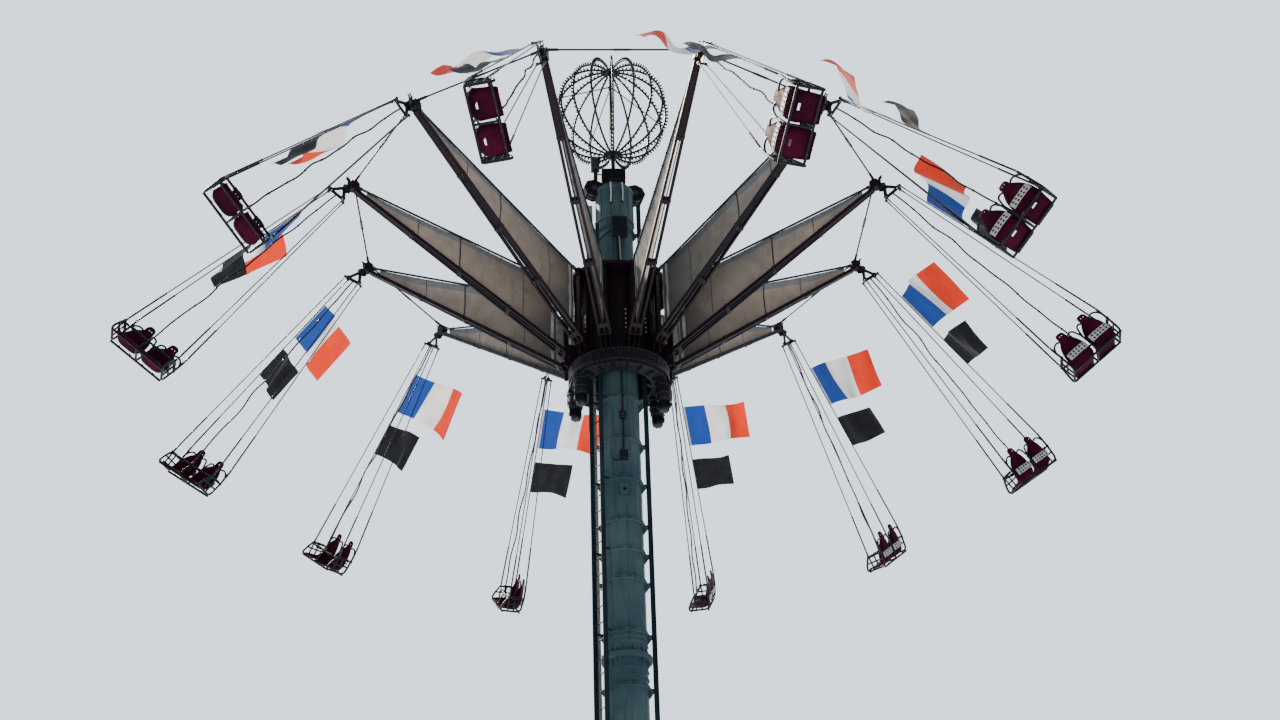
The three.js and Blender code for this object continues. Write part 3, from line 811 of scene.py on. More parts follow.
# side view of the shell, front edge to crown: y, z, half width, how far its edges wrap forward
shellSections = [
    (0.405, -0.058, 0.185, 0.004, 0.000),
    (0.395, -0.040, 0.200, 0.006, 0.006),
    (0.330, -0.038, 0.212, 0.010, 0.022),
    (0.220, -0.052, 0.220, 0.010, 0.045),
    (0.110, -0.062, 0.226, 0.018, 0.060),
    (0.020, -0.050, 0.231, 0.045, 0.060),
    (-0.045, -0.008, 0.234, 0.075, 0.045),
    (-0.078, 0.060, 0.235, 0.090, 0.020),
    (-0.092, 0.140, 0.233, 0.085, 0.000),
    (-0.100, 0.220, 0.222, 0.075, 0.000),
    (-0.106, 0.290, 0.203, 0.062, 0.000),
    (-0.111, 0.350, 0.178, 0.050, 0.000),
    (-0.115, 0.400, 0.148, 0.038, 0.000),
    (-0.118, 0.440, 0.116, 0.026, 0.000),
    (-0.120, 0.475, 0.092, 0.018, 0.000),
    (-0.121, 0.510, 0.083, 0.014, 0.000),
    (-0.120, 0.550, 0.081, 0.014, 0.000),
    (-0.117, 0.585, 0.072, 0.012, 0.000),
    (-0.110, 0.608, 0.052, 0.008, 0.000),
    (-0.098, 0.618, 0.026, 0.003, 0.000),
]


def shellPoint(v, u):
    # v runs through the sections, u from -1 to 1 across
    last = len(shellSections) - 1
    place = min(max(v, 0), last - 0.001)
    k = int(place)
    t = place - k
    rows = [shellSections[min(max(k + n, 0), last)] for n in (-1, 0, 1, 2)]
    y, z, half, wrap, lift = (
        0.5 * (2 * b + (c - a) * t + (2 * a - 5 * b + 4 * c - d) * t * t
               + (3 * b - a - 3 * c + d) * t ** 3)
        for a, b, c, d in zip(*rows))
    bend = abs(u) ** 4.5
    return Vector((u * half, y + wrap * bend, z + lift * bend))


def shellPlace(k, j):
    # the point at a step across and a step along the shell
    return shellPoint((len(shellSections) - 1) * j / chair["shellRows"],
                      2 * k / chair["shellColumns"] - 1)


def shellOpening(k, j):
    # two small holes in the headrest and a hand slot under the seat's rear edge
    middle = shellPlace(k + 0.5, j + 0.5)
    x, y, z = abs(middle.x), middle.y, middle.z
    headrest = abs(x - 0.03) < 0.008 and abs(z - 0.548) < 0.009 and y < 0
    return headrest or x < 0.05 and abs(y - 0.055) < 0.016 and z < 0


def shellSurface():
    rows, columns = chair["shellRows"], chair["shellColumns"]
    points = [[shellPlace(k, j) for j in range(rows + 1)] for k in range(columns + 1)]
    flat = [[(k / columns, j / rows) for j in range(rows + 1)] for k in range(columns + 1)]
    return gridShape(points, flat, skip=shellOpening)


def thickened(bm, thickness):
    # a wall of even thickness with softened edges
    mesh = bpy.data.meshes.new("sheet")
    bm.to_mesh(mesh)
    bm.free()
    holder = bpy.data.objects.new("sheet", mesh)
    bpy.context.scene.collection.objects.link(holder)
    wall = holder.modifiers.new("wall", "SOLIDIFY")
    wall.thickness = thickness
    wall.offset = 0
    edge = holder.modifiers.new("edge", "BEVEL")
    edge.width = thickness * 0.35
    edge.segments = 1
    edge.limit_method = "ANGLE"
    edge.angle_limit = radians(50)
    solid = bpy.data.meshes.new_from_object(holder.evaluated_get(bpy.context.evaluated_depsgraph_get()))
    result = bmesh.new()
    result.from_mesh(solid)
    bpy.data.objects.remove(holder)
    bpy.data.meshes.remove(mesh)
    bpy.data.meshes.remove(solid)
    return result


def shellRim():
    # the rolled bead along the shell's edge
    rows, columns = chair["shellRows"], chair["shellColumns"]
    path = [shellPlace(0, j) for j in range(rows + 1)] + [shellPlace(k, rows) for k in range(2, columns)]
    path += [shellPlace(columns, j) for j in range(rows, -1, -1)]
    path += [shellPlace(k, 0) for k in range(columns - 1, 0, -2)]
    return tubeShape(path, 0.0095, 6, closed=True)


def backStrip():
    # perforated strip bent to the shell's back, with its folded lips
    c = chair
    width, height, count = c["stripWidth"], c["stripHeight"], c["stripColumns"]
    holes = [circle((k - (count - 1) / 2) * width * 0.168, (j - 0.5) * height * 0.441, c["stripHole"], 14)
             for j in range(c["stripRows"]) for k in range(count)]
    outline = roundedBox(-width / 2, width / 2, -height / 2, height / 2, 0.012)
    bm = plateShape([outline, *holes], 0.004, 0.0008)
    bmesh.ops.triangulate(bm, faces=bm.faces)
    bmesh.ops.subdivide_edges(bm, edges=[e for e in bm.edges if e.calc_length() > 0.05], cuts=2)
    bm.transform(upright)
    for vertex in bm.verts:
        u = vertex.co.x / 0.232
        v = vertex.co.z / height + 0.5
        back = -0.104 - 0.012 * v + 0.03 * abs(u) ** 6
        vertex.co = Vector((vertex.co.x, vertex.co.y + back, c["stripBottom"] + v * height))
    return bm


def chairMesh():
    # drawn about the seat's own level, then lowered to where it hangs
    c = chair
    half, centre, tube, thin = c["half"], c["shellCentre"], c["tube"], c["thinTube"]
    b = Build(tubePaint, shellPlastic, panelAluminium, boltZinc, blackRubber)
    skin = thickened(shellSurface(), c["shellThickness"])
    for side in (-1, 1):
        x0 = side * centre
        place = move(x0, 0, 0)
        b.put(skin, 1, place, keep=True)
        b.put(shellRim(), 1, place)
        b.put(backStrip(), 2, place)
        # stand-offs with bolts at the strip's corners
        for sx, sz in product((-1, 1), (0.02, 0.11)):
            b.bolt(0.006, 3, facing((x0 + sx * 0.195, -0.055, c["stripBottom"] + sz), (sx * 0.35, -1, 0)))
        # arcs of tube from the neck of each shell out to the frame
        for turn in (-1, 1):
            end, low = (side * half, 0.38) if side == turn else (0.0, 0.30)
            arc = [(x0 + turn * 0.065, -0.105, 0.462), (x0 + turn * 0.15, -0.118, 0.505),
                   (end * 0.8 + x0 * 0.2, -0.116, 0.475), (end, -0.108, low), (end, -0.09, 0.19)]
            b.tube(bent(arc, 0.09, 6), thin)
    skin.free()
    for x in (-half, half):
        # outer loop of the frame: up the back, along the seat, up to the front cable
        loop = [(x, -0.110, 0.485), (x, -0.104, 0.24), (x, -0.062, -0.061), (x, 0.40, -0.061),
                (x, 0.335, 0.10),
                (x, 0.22, 0.265)]
        b.tube(bent(loop, 0.09, 6), tube, 12)
        b.tube(bent([(x, -0.098, 0.24), (x, 0.06, 0.242), (x, 0.237, 0.238)], 0.05), tube * 0.9, 12)
        b.tube([(x, -0.03, 0.243), (x, 0.16, 0.243)], tube * 1.25, 12, 4)
        b.tube([(x, -0.082, 0.10), (x, 0.335, 0.10)], thin)
        for y in (0.09, 0.22):
            b.tube([(x, y, -0.055), (x, y, 0.235)], thin)
        # lugs that take the cable forks
        for y, top in ((-0.11, 0.50), (0.22, 0.28)):
            lug = [roundedBox(-0.017, 0.017, 0.0, -0.05, 0.007), circle(0, -0.016, 0.007, 12)]
            b.plate(lug, 0.016, 0.001, 0, move(x, y, top - 0.001) @ acrossX)
        for y, high in ((-0.104, 0.24), (0.237, 0.238)):
            b.tube([(x, y - 0.016, high), (x, y + 0.016, high)], tube * 1.3, 12)
    # cross tubes under the pans, and one from the backs down between the seats
    for y, low in ((-0.045, -0.084), (0.34, -0.078)):
        b.tube([(-half, y, low), (half, y, low)], tube, 12)
    b.tube(bent([(0, -0.095, 0.31), (0, -0.09, 0.1), (0, -0.06, -0.078), (0, 0.34, -0.078)], 0.06),
           tube * 0.9, 12)
    for side, y, dx in product((-1, 1), (-0.045, 0.34), (-0.12, 0.12)):
        at = Vector((side * centre + dx, y, -0.079))
        b.block(at - Vector((0.022, 0.014, 0.012)), at + Vector((0.022, 0.014, 0.022)), 0.003)
        b.bolt(0.007, 3, facing(at - Vector((0, 0, 0.02)), (0, 0, -1)))
    # lap bar with its grips and the buckle post between the seats
    bar = [(-half + 0.01, 0.232, 0.213), (-0.3, 0.25, 0.205), (0, 0.24, 0.211), (0.3, 0.25, 0.205),
           (half - 0.01, 0.232, 0.213)]
    b.tube(bent(bar, 0.08), tube * 0.95, 12)
    for side in (-1, 1):
        b.tube([(side * 0.17, 0.2445, 0.2072), (side * 0.36, 0.2475, 0.206)], tube * 1.5, 14, 4)
    b.tube(bent([(0, 0.24, 0.211), (0, 0.30, 0.08), (0, 0.335, -0.07)], 0.05), tube * 0.85, 12)
    b.block((-0.03, 0.218, 0.19), (0.03, 0.262, 0.232), 0.006)
    b.bm.transform(move(0, 0, ride["seatLevel"]))
    return b.mesh("chair")


def makeChairs():
    data = chairMesh()
    for index in range(ride["arms"]):
        n = number(index)
        addPiece(f"chairFrame_{n}", data, f"swing_{n}", [f"chair_{n}"], swingFrame(index))
    print("chairs made", sum(len(p.vertices) - 2 for p in data.polygons), "triangles each")


makeChairs()


# Hub of the star: drum, toothed slewing ring round its foot, shelf ring near its top.

hub = {
    "top": -1.5,
    "bottom": -3.64,
    "drumInner": 0.692,
    "drumOuter": 0.773,
    "seatRadius": 0.7815,
    "slewingOuter": 0.944,
    "slewingTop": -3.38,
    "slewingTeeth": 110,
    "slewingBolts": 48,
    "shelfOuter": 1.056,
    "shelfLow": -1.6,
    "shelfTop": -1.54,
    "shelfBolts": 36,
}


def betweenArms():
    # placements halfway between neighbouring arms, local X outwards
    step = 360 / ride["arms"]
    return [turnZ(radians(ride["firstAzimuth"] + step * (k + 0.5) - 90)) for k in range(ride["arms"])]


def drumMesh():
    b = Build(maroonPaint, machinePaint, boltZinc, tubePaint, lampGlassAndHighlight)
    inner, outer, low, top = (hub[k] for k in ("drumInner", "drumOuter", "bottom", "top"))
    wall = [(inner, low), (outer, low), (outer, top - 0.03), (outer + 0.006, top - 0.024),
            (outer + 0.006, top - 0.004),
            (outer + 0.002, top), (inner, top), (inner, low)]
    b.turned(wall, 72)
    # stiffening hoops between the plates, with their weld beads
    for z in (low + 0.75, low + 1.25, low + 1.72):
        b.turned([(outer - 0.002, z - 0.02), (outer + 0.005, z - 0.018), (outer + 0.005, z + 0.018),
                  (outer - 0.002, z + 0.02)], 72)
    b.ring(boltShape(0.009), 0.732, top - 0.001, 36, 2)
    lamp = [(0, -0.004), (0.013, -0.004), (0.013, 0.006), (0.010, 0.012), (0, 0.014)]
    pipe = [(0.797, -0.12, -3.33), (0.797, -0.12, -2.4), (0.797, -0.05, -2.3), (0.797, -0.05, -1.64)]
    for between in betweenArms():
        # row of small lamps in a narrow channel beside the plate
        for y in (0.108, 0.142):
            b.block((outer - 0.004, y - 0.003, -3.02), (outer + 0.018, y + 0.003, -2.42), 0.001, 3,
                    between)
        for k in range(6):
            b.turned(lamp, 14, 4, between @ facing((outer + 0.004, 0.125, -2.97 + k * 0.1), (1, 0, 0)))
        # short run of pipe with its clips
        b.tube(bent(pipe, 0.05, 4), 0.011, 8, 1, between)
        for y, z in ((-0.12, -3.2), (-0.12, -2.7), (-0.05, -2.0)):
            b.block((outer - 0.002, y - 0.02, z - 0.012), (0.812, y + 0.02, z + 0.012), 0.003, 1, between)
    return b.mesh("hubDrum")


def slewingRingMesh():
    b = Build(machinePaint, maroonPaint, boltZinc, oilySteel)
    inner, outer, low, top = hub["seatRadius"], hub["slewingOuter"], hub["bottom"], hub["slewingTop"]
    section = [(inner, low), (outer - 0.006, low), (outer, low + 0.006), (outer, low + 0.07),
               (outer - 0.035, low + 0.085),
               (outer - 0.035, low + 0.225), (outer, low + 0.24), (outer, top - 0.003), (outer - 0.003,
                                                                                         top),
               (inner, top), (inner, low)]
    b.turned(section, 72)
    tooth = loftShape((0, 0, 0, 0.012, 0.058), (0.022, 0, 0, 0.006, 0.056))
    b.ring(tooth, outer - 0.037, low + 0.155, hub["slewingTeeth"], 3)
    b.ring(boltShape(0.013), 0.90, top - 0.001, hub["slewingBolts"], 2, 0.25)
    b.ring(boltShape(0.009), 0.925, low + 0.001, 60, 2, 0.5, True)
    for k in range(6):
        # grease nipple, and a splash guard over the teeth
        b.tube([(outer - 0.004, 0, low + 0.035), (outer - 0.001, 0, low + 0.035)], 0.008, 10, 3,
               turnZ(radians(60 * k + 7)))
        turn = turnZ(radians(60 * k + 20))
        b.block((outer - 0.012, -0.05, low + 0.076), (outer - 0.004, 0.05, low + 0.234), 0.002, 1, turn)
        for y, z in product((-0.036, 0.036), (0.10, 0.21)):
            b.bolt(0.006, 2, turn @ facing((outer - 0.0045, y, low + z), (1, 0, 0)), 0.003)
    return b.mesh("slewingRing")


def shelfRingMesh():
    b = Build(maroonPaint, boltZinc)
    inner, outer, low, top = hub["seatRadius"], hub["shelfOuter"], hub["shelfLow"], hub["shelfTop"]
    b.turned(ringProfile(inner, outer, low, top, 0.004), 72)
    for radius in (inner + 0.002, outer - 0.003):
        b.tube([(x, y, top - 0.002) for x, y in circle(0, 0, radius, 72)], 0.004, 6, closed=True)
    for z, down in ((top - 0.001, False), (low + 0.001, True)):
        b.ring(boltShape(0.012), 0.99, z, hub["shelfBolts"], 1, 0.5, down)
    # doubling pads between the stays
    for between in betweenArms():
        b.block((0.80, -0.07, low - 0.008), (0.95, 0.07, low + 0.002), 0.003, 0, between)
    return b.mesh("shelfRing")


# Carriage: sleeve on the column's rails, bearing flange, roller blocks and two drive units.

carriage = {
    "inner": 0.606,
    "outer": 0.658,
    "flange": 0.905,
    "flangeLow": -3.70,
    "gap": 0.0006,
    "rollerHeights": (-3.56, -1.96),
}


def carriageMesh():
    b = Build(machinePaint, oilySteel, boltZinc, maroonPaint)
    inner, outer, flange, low = (carriage[k] for k in ("inner", "outer", "flange", "flangeLow"))
    high = hub["bottom"] - carriage["gap"]
    profile = [(inner, low), (flange - 0.005, low), (flange, low + 0.005), (flange, high - 0.004),
               (flange - 0.004, high),
               (outer, high), (outer, -1.704), (outer - 0.004, -1.70), (inner, -1.70), (inner, low)]
    b.turned(profile, 64)
    b.ring(boltShape(0.012), 0.875, low, 40, 2, 0.5, True)
    b.ring(boltShape(0.010), 0.64, low, 24, 2, 0.5, True)
    b.ring(blockShape((-0.10, -0.006, -0.045), (0.10, 0.006, 0.0), 0.002), 0.77, low, 20, 0, 0.5)
    # roller blocks: two wheels between cheeks, on the rails at two heights
    wheel = [(0, -0.03), (0.008, -0.032), (0.0165, -0.03), (0.0165, 0.03), (0.008, 0.032), (0, 0.03)]
    for side, z in product((-1, 1), carriage["rollerHeights"]):
        b.block((side * 0.546, -0.058, z - 0.118), (side * 0.625, 0.058, z + 0.118), 0.005)
        for high in (z - 0.065, z + 0.065):
            b.turned(wheel, 20, 1, facing((side * 0.5375, 0, high), (0, 1, 0)))
            for y in (-0.045, 0.045):
                b.block((side * 0.528, y - 0.006, high - 0.022), (side * 0.56, y + 0.006, high + 0.022),
                        0.003)
    return b.mesh("carriage")


drive = {
    "reach": 0.82,
    "spread": 20,
    "azimuth": 100,
}


def driveMesh():
    # two geared motors on their plate, X outwards
    b = Build(machinePaint, oilySteel, boltZinc, blackRubber)
    top = carriage["flangeLow"] - 0.0003
    b.plate([roundedBox(0.652, 0.928, -0.428, 0.428, 0.05)], 0.0395, 0.003, 0, move(0, 0, top - 0.02))
    gearbox = [(0, -0.38), (0.116, -0.38), (0.122, -0.37), (0.130, -0.35), (0.136, -0.26),
               (0.152, -0.25), (0.152, -0.21),
               (0.140, -0.20), (0.140, -0.09), (0.153, -0.08), (0.153, -0.05), (0.150, -0.04), (0, -0.04)]
    motor = [(0, -0.598), (0.06, -0.598), (0.085, -0.59), (0.098, -0.57), (0.098, -0.53), (0.09, -0.525),
             (0.09, -0.40),
             (0.105, -0.39), (0.110, -0.378), (0, -0.378)]
    wire = [(0.11, 0, -0.40), (0.118, 0.01, -0.375), (0.154, 0.01, -0.33), (0.158, 0.0, -0.17),
            (0.14, 0, -0.06),
            (0.11, 0, -0.02)]
    for side in (-1, 1):
        angle = side * radians(drive["spread"])
        place = move(drive["reach"] * cos(angle), drive["reach"] * sin(angle), top)
        b.turned(gearbox, 40, 0, place)
        b.turned(motor, 36, 0, place)
        for turn in turns(28):
            b.block((0.086, -0.0022, -0.52), (0.107, 0.0022, -0.405), 0.001, 0, place @ turn)
        for radius, z, count in ((0.137, -0.205, 12), (0.136, -0.042, 12), (0.080, -0.593, 6)):
            for turn in turns(count, 0.5):
                b.bolt(0.008, 2, place @ turn @ move(radius, 0, z) @ upsideDown)
        # terminal box, its gland and the cable back to the plate; brake lever; oil plug
        b.block((0.085, -0.05, -0.50), (0.130, 0.05, -0.42), 0.008, 0, place)
        b.tube([(0.11, 0.0, -0.42), (0.11, 0.0, -0.395)], 0.014, 12, 1, place)
        b.tube(bent(wire, 0.03, 4), 0.008, 8, 3, place)
        b.tube([(-0.09, 0, -0.555), (-0.120, 0, -0.555), (-0.135, 0, -0.525)], 0.006, 8, 1, place)
        b.tube([(-0.150, 0.02, -0.15), (-0.135, 0.02, -0.15)], 0.016, 10, 1, place)
    # guard between the motors, and the plate's bolts
    b.plate([[(0.88, -0.12), (0.925, -0.08), (0.925, 0.08), (0.88, 0.12)]], 0.012, 0.001, 0,
            move(0, 0, top - 0.052))
    for y, x in product((-0.39, -0.1, 0.1, 0.39), (0.675, 0.875)):
        b.bolt(0.012, 2, move(x, y, top - 0.0395) @ upsideDown)
    return b.mesh("driveUnit")


ringLevel = move(0, 0, ride["ringHeight"])
addPiece("hubDrum", drumMesh(), "star", ["hub_drum"], ringLevel)
addPiece("slewingRing", slewingRingMesh(), "star", ["slewing_ring"], ringLevel)
addPiece("shelfRing", shelfRingMesh(), "star", ["shelf_ring"], ringLevel)
addPiece("carriageSleeve", carriageMesh(), "carriage", ["lift_carriage"], ringLevel)
driveData = driveMesh()
for sideName, azimuth in (("left", drive["azimuth"] - 180), ("right", drive["azimuth"])):
    turn = turnZ(radians(azimuth - 90))
    addPiece(f"drive_{sideName}", driveData, "carriage", [f"drive_unit_{sideName}"], ringLevel @ turn)
print("hub and carriage made")


# Arms: two tubes with a track between them, battens, stay above, tip block with its pin.

arm = {
    "root": 1.066,
    "end": 5.12,
    "rootZ": -3.098,
    "tipZ": -0.034,
    "halfDepth": 0.045,
    "battens": (1.18, 2.132, 3.068),
    "boxedFrom": 4.004,
    "tubeWidth": 0.047,
    "trackHalf": 0.014,
    "trackRise": 0.014,
    "stayRadius": 0.021,
    "battenBolt": 0.0095,
    "hubRadius": 1.075,
    "stayFoot": -1.58,
    "staySlope": 1.6 / 4.075,
}


def armAxis(r):
    slope = (arm["tipZ"] - arm["rootZ"]) / (ride["tipRadius"] - arm["hubRadius"])
    return arm["tipZ"] - (ride["tipRadius"] - r) * slope


def armHalfWidth(r):
    return 0.125 - 0.060 * (r - arm["hubRadius"]) / (ride["tipRadius"] - arm["hubRadius"])


def stayAxis(r):
    return arm["stayFoot"] + (r - arm["hubRadius"]) * arm["staySlope"]


def acrossArm(r, z, side=1):
    # stands at the arm's side face, local Z sideways
    return facing((r, side * armHalfWidth(r), z), (0, side, 0))


def armBar(b, ends, up=0.0, down=0.0, slot=0, bevel=0.004):
    # a strip of the beam between two (x, y, halfWidth); up and down let it stand proud of the beam's depth
    lift, tall = (up - down) / 2, arm["halfDepth"] + (up + down) / 2
    b.put(loftShape(*[(x, y, armAxis(x) + lift, half, tall) for x, y, half in ends], bevel), slot)


def armBeam(b):
    # two tubes with the track between them, battens, and recessed plates where the beam is boxed in
    a = arm
    depth, wide = a["halfDepth"], a["tubeWidth"] / 2
    for side in (-1, 1):
        armBar(b, [(x, side * (armHalfWidth(x) - wide), wide) for x in (a["root"], a["end"])],
               bevel=0.009)
    armBar(b, [(x, 0, a["trackHalf"] - 0.002) for x in (a["root"], a["end"])], 0.004, -0.01, 1, 0.003)
    # sail track on top: two lips with a slot between them
    # the lips are in the pale paint: painted highlight for the lit strips between the dark tubes
    for side in (-1, 1):
        ends = [(x, side * 0.0105, armAxis(x) + depth + 0.007, 0.0045, 0.0065)
                for x in (a["root"] + 0.01, 5.03)]
        b.put(loftShape(*ends, 0.0015), 4)
    # battens with their bolts under the beam and on its sides
    for x in (*a["battens"], a["boxedFrom"]):
        half = 0.033
        armBar(b, [(r, 0, armHalfWidth(r) - 0.003) for r in (x - half, x + half)], -0.005, 0.005, 0,
               0.003)
        for side in (-1, 1):
            b.plate([roundedBox(-half, half, -0.04, 0.04, 0.010)], 0.006, 0.001, 0,
                    acrossArm(x, armAxis(x), side))
            for r in (x - 0.018, x + 0.018):
                b.bolt(a["battenBolt"], 2, facing((r, side * 0.045, armAxis(r) - depth - 0.005),
                                                  (0, 0, -1)))
            for dz in (-0.022, 0.022):
                b.bolt(a["battenBolt"], 2, acrossArm(x, armAxis(x) + dz, side), 0.008)
    # closed part towards the tip: a recessed plate above and below, with its stitch of rivets
    for up in (-1, 1):
        b.put(loftShape(*[(x, 0.0, armAxis(x) + up * (depth - 0.012), armHalfWidth(x) - 2 * wide + 0.004,
                           0.004)
                          for x in (a["boxedFrom"], a["end"])]), 0)
    for k, y in product(range(14), (-0.03, 0.03)):
        x = a["boxedFrom"] + 0.08 + k * 0.072
        b.bolt(0.005, 2, facing((x, y, armAxis(x) - depth + 0.008), (0, 0, -1)), 0.004)


def armRoot(b):
    # windowed plate on the drum, its outer flange, the pad of the beam and the clamp of the stay
    top, low = hub["shelfLow"] - 0.0005, hub["slewingTop"] + 0.0005
    window = roundedBox(0.842, 0.983, -2.915, -1.765, 0.06, 5)
    b.plate([[(0.7745, low), (1.05, low), (1.05, top), (0.7745, top)], window], 0.024, 0.0015, 0, upright)
    b.block((1.038, -0.045, -2.98), (1.058, 0.045, top - 0.06), 0.004)
    for y in (-0.012, 0.012):
        b.tube([(x, y, z) for x, z in window], 0.007, 6, closed=True)
    z = armAxis(arm["root"])
    for x, half, thick in ((1.0505, 0.128, 0.02), (1.068, 0.122, 0.013)):
        b.plate([roundedBox(-half, half, -0.09, 0.09, 0.015)], thick, 0.002, 0, move(x, 0, z) @ acrossX)
    for dy, dz in product((-0.106, 0.106), (-0.068, 0.068)):
        b.bolt(0.012, 2, facing((1.0745, dy, z + dz), (1, 0, 0)))
    brace = [(0.96, -3.375), (1.045, -3.19), (1.045, -3.01), (0.79, -2.90), (0.79, -3.375)]
    for side in (-1, 1):
        b.plate([brace], 0.012, 0.001, 0, move(0, side * 0.085, 0) @ upright)
        for x, z in ((0.98, -3.24), (1.0, -3.08)):
            b.bolt(0.011, 2, facing((x, side * 0.0905, z), (0, side, 0)))
    z = arm["stayFoot"]
    b.plate([roundedBox(-0.058, 0.058, -0.068, 0.068, 0.012)], 0.024, 0.002, 0,
            move(1.0715, 0, z) @ acrossX)
    for low, high in ((z - 0.066, hub["shelfLow"] - 0.001), (hub["shelfTop"] + 0.001, z + 0.066)):
        b.block((1.02, -0.05, low), (1.062, 0.05, high), 0.003)
    for dy, dz in product((-0.043, 0.043), (-0.05, 0.05)):
        b.bolt(0.009, 2, facing((1.0835, dy, z + dz), (1, 0, 0)))


def armStay(b):
    # stay from the hub's top ring to the tip, with a threaded fork at each end
    stay = arm["stayRadius"]
    low, high = Vector((1.125, 0, stayAxis(1.125))), Vector((5.02, 0, stayAxis(5.02)))
    way = (high - low).normalized()
    b.tube([low + way * 0.1, high - way * 0.1], stay, 14, 1)
    stations = [(0.0, 0.020), (0.02, 0.025), (0.17, 0.025), (0.18, 0.014), (0.25, 0.014), (0.255, 0.026),
                (0.29, 0.026),
                (0.30, stay)]
    for end, sign in ((low, 1), (high, -1)):
        b.tube([end + way * sign * s for s, r in stations], [r for s, r in stations], 14, 3)
    tongue = roundedBox(-0.055, 0.09, -0.026, 0.026, 0.016)
    lean = Matrix.Rotation(-atan2(arm["staySlope"], 1), 4, "Y")
    for side, end in product((-1, 1), (low, high)):
        b.plate([tongue], 0.009, 0.001, 3, Matrix.Translation(end + Vector((0, side * 0.020, 0))) @ lean
                @ upright)
        b.bolt(0.012, 2, facing(end + Vector((0, side * 0.024, 0)), (0, side, 0)))
    root = roundedCorners([(0.0, -0.045), (0.05, -0.03), (0.05, 0.03), (0.0, 0.045)], 0.01)
    b.plate([root], 0.028, 0.002, 0, move(1.082, 0, stayAxis(1.082)) @ upright)


def armTip(b):
    # two side plates, a core with ribs, the plate that carries the tie rods, and the cheeks with the pin
    pinX, pinZ = ride["pivotRadius"], -ride["pivotDrop"]
    b.block((5.03, -0.058, -0.1), (5.205, 0.058, 0.045), 0.006)
    sidePlate = roundedCorners([(5.035, -0.10), (5.214, -0.103), (5.214, 0.052), (5.06, 0.052),
                                (5.035, -0.01)], 0.014)
    cheek = [(5.2, -0.148), (5.2, -0.022), (5.30, -0.022)]
    cheek += [(5.298 + 0.047 * cos(t), -0.068 + 0.046 * sin(t))
              for t in [radians(80 - 25 * k) for k in range(7)]]
    cheek += [(5.27, -0.148)]
    boss = [(0, -0.003), (0.036, -0.003), (0.038, 0.003), (0.034, 0.006), (0, 0.006)]
    for side in (-1, 1):
        holes = [circle(x, -0.03, 0.014, 14) for x in (5.10, 5.165)]
        b.plate([sidePlate, *holes], 0.014, 0.0015, 0, move(0, side * 0.067, 0) @ upright)
        for x, z in ((5.06, -0.075), (5.19, -0.08), (5.19, 0.03), (5.09, 0.03)):
            b.bolt(0.009, 2, facing((x, side * 0.074, z), (0, side, 0)))
        b.plate([cheek], 0.024, 0.003, 0, move(0, side * 0.0475, 0) @ upright)
        b.turned(boss, 24, 3, facing((pinX, side * 0.0595, pinZ), (0, side, 0)))
        b.bolt(0.020, 2, facing((pinX, side * 0.064, pinZ), (0, side, 0)), 0.018)
    b.tube([(pinX, -0.062, pinZ), (pinX, 0.062, pinZ)], 0.0195, 24, 3)
    b.block((5.04, -0.074, 0.048), (5.214, 0.074, 0.0598), 0.002)
    # forked horn over the tip with its bolts, drilled for the rigging shackles
    horn = [(5.2, -0.05), (5.234, -0.05), (5.234, 0.006), (5.258, 0.021), (5.26, 0.118), (5.298, 0.179),
            (5.281, 0.193),
            (5.216, 0.131), (5.2, 0.04)]
    for side in (-1, 1):
        b.plate([roundedCorners(horn, 0.006), circle(5.236, 0.075, 0.011, 14)], 0.009, 0.001, 0,
                move(0, side * 0.0245, 0) @ upright)
    for x, z in ((5.236, 0.105), (5.272, 0.165), (5.225, 0.03)):
        b.tube([(x, -0.036, z), (x, 0.036, z)], 0.008, 10, 3)
        for side in (-1, 1):
            b.bolt(0.0085, 2, facing((x, side * 0.029, z), (0, side, 0)))
    b.tube([(5.236, -0.02, 0.075), (5.236, 0.02, 0.075)], 0.016, 14, 3)


def armMesh():
    b = Build(maroonPaint, tubePaint, boltZinc, oilySteel, palePaintAndHighlight)
    for part in (armBeam, armRoot, armStay, armTip):
        part(b)
    return b.mesh("arm")


# Sails: one sheet for each arm, sewn round the stay and slid into the track of the beam.

sail = {
    "inner": 1.19,
    "outer": 4.88,
    "seam": 3.068,
    "border": 0.13,
    "billow": 0.075,
    "topSag": 0.02,
    "hemRadius": 0.007,
    "eyelets": 15,
    "cut": (4.72, 1.16),
}


def sailShare(r):
    # how far the station is through its panel, from 0 to 1
    first, last = (sail["inner"], sail["seam"]) if r < sail["seam"] else (sail["seam"], sail["outer"])
    return (r - first) / (last - first)


def sailEdges(r):
    t = sailShare(r)
    low = armAxis(r) + arm["halfDepth"] + arm["trackRise"] - 0.006
    return low, stayAxis(r) - 0.030 - sail["topSag"] * 4 * t * (1 - t)


def sailPoint(r, share, side, seed):
    # share runs up from the beam to the stay; the wind fills each panel to one side
    low, high = sailEdges(r)
    whole = (r - sail["inner"]) / (sail["outer"] - sail["inner"])
    panel = sin(pi * min(max(sailShare(r), 0), 1)) * 0.45 + 0.55 * sin(pi * whole)
    depth = min(1.0, (high - low) / 0.9)
    fill = sail["billow"] * panel * sin(pi * share) * depth
    wrinkle = 0.006 * sin(9 * r + 5 * share + seed) * sin(pi * share)
    wrinkle += 0.004 * sin(23 * (r + 0.6 * share) + 2 * seed) * share * (1 - share) * 4
    return Vector((r, side * fill + wrinkle * depth, low + (high - low) * share))


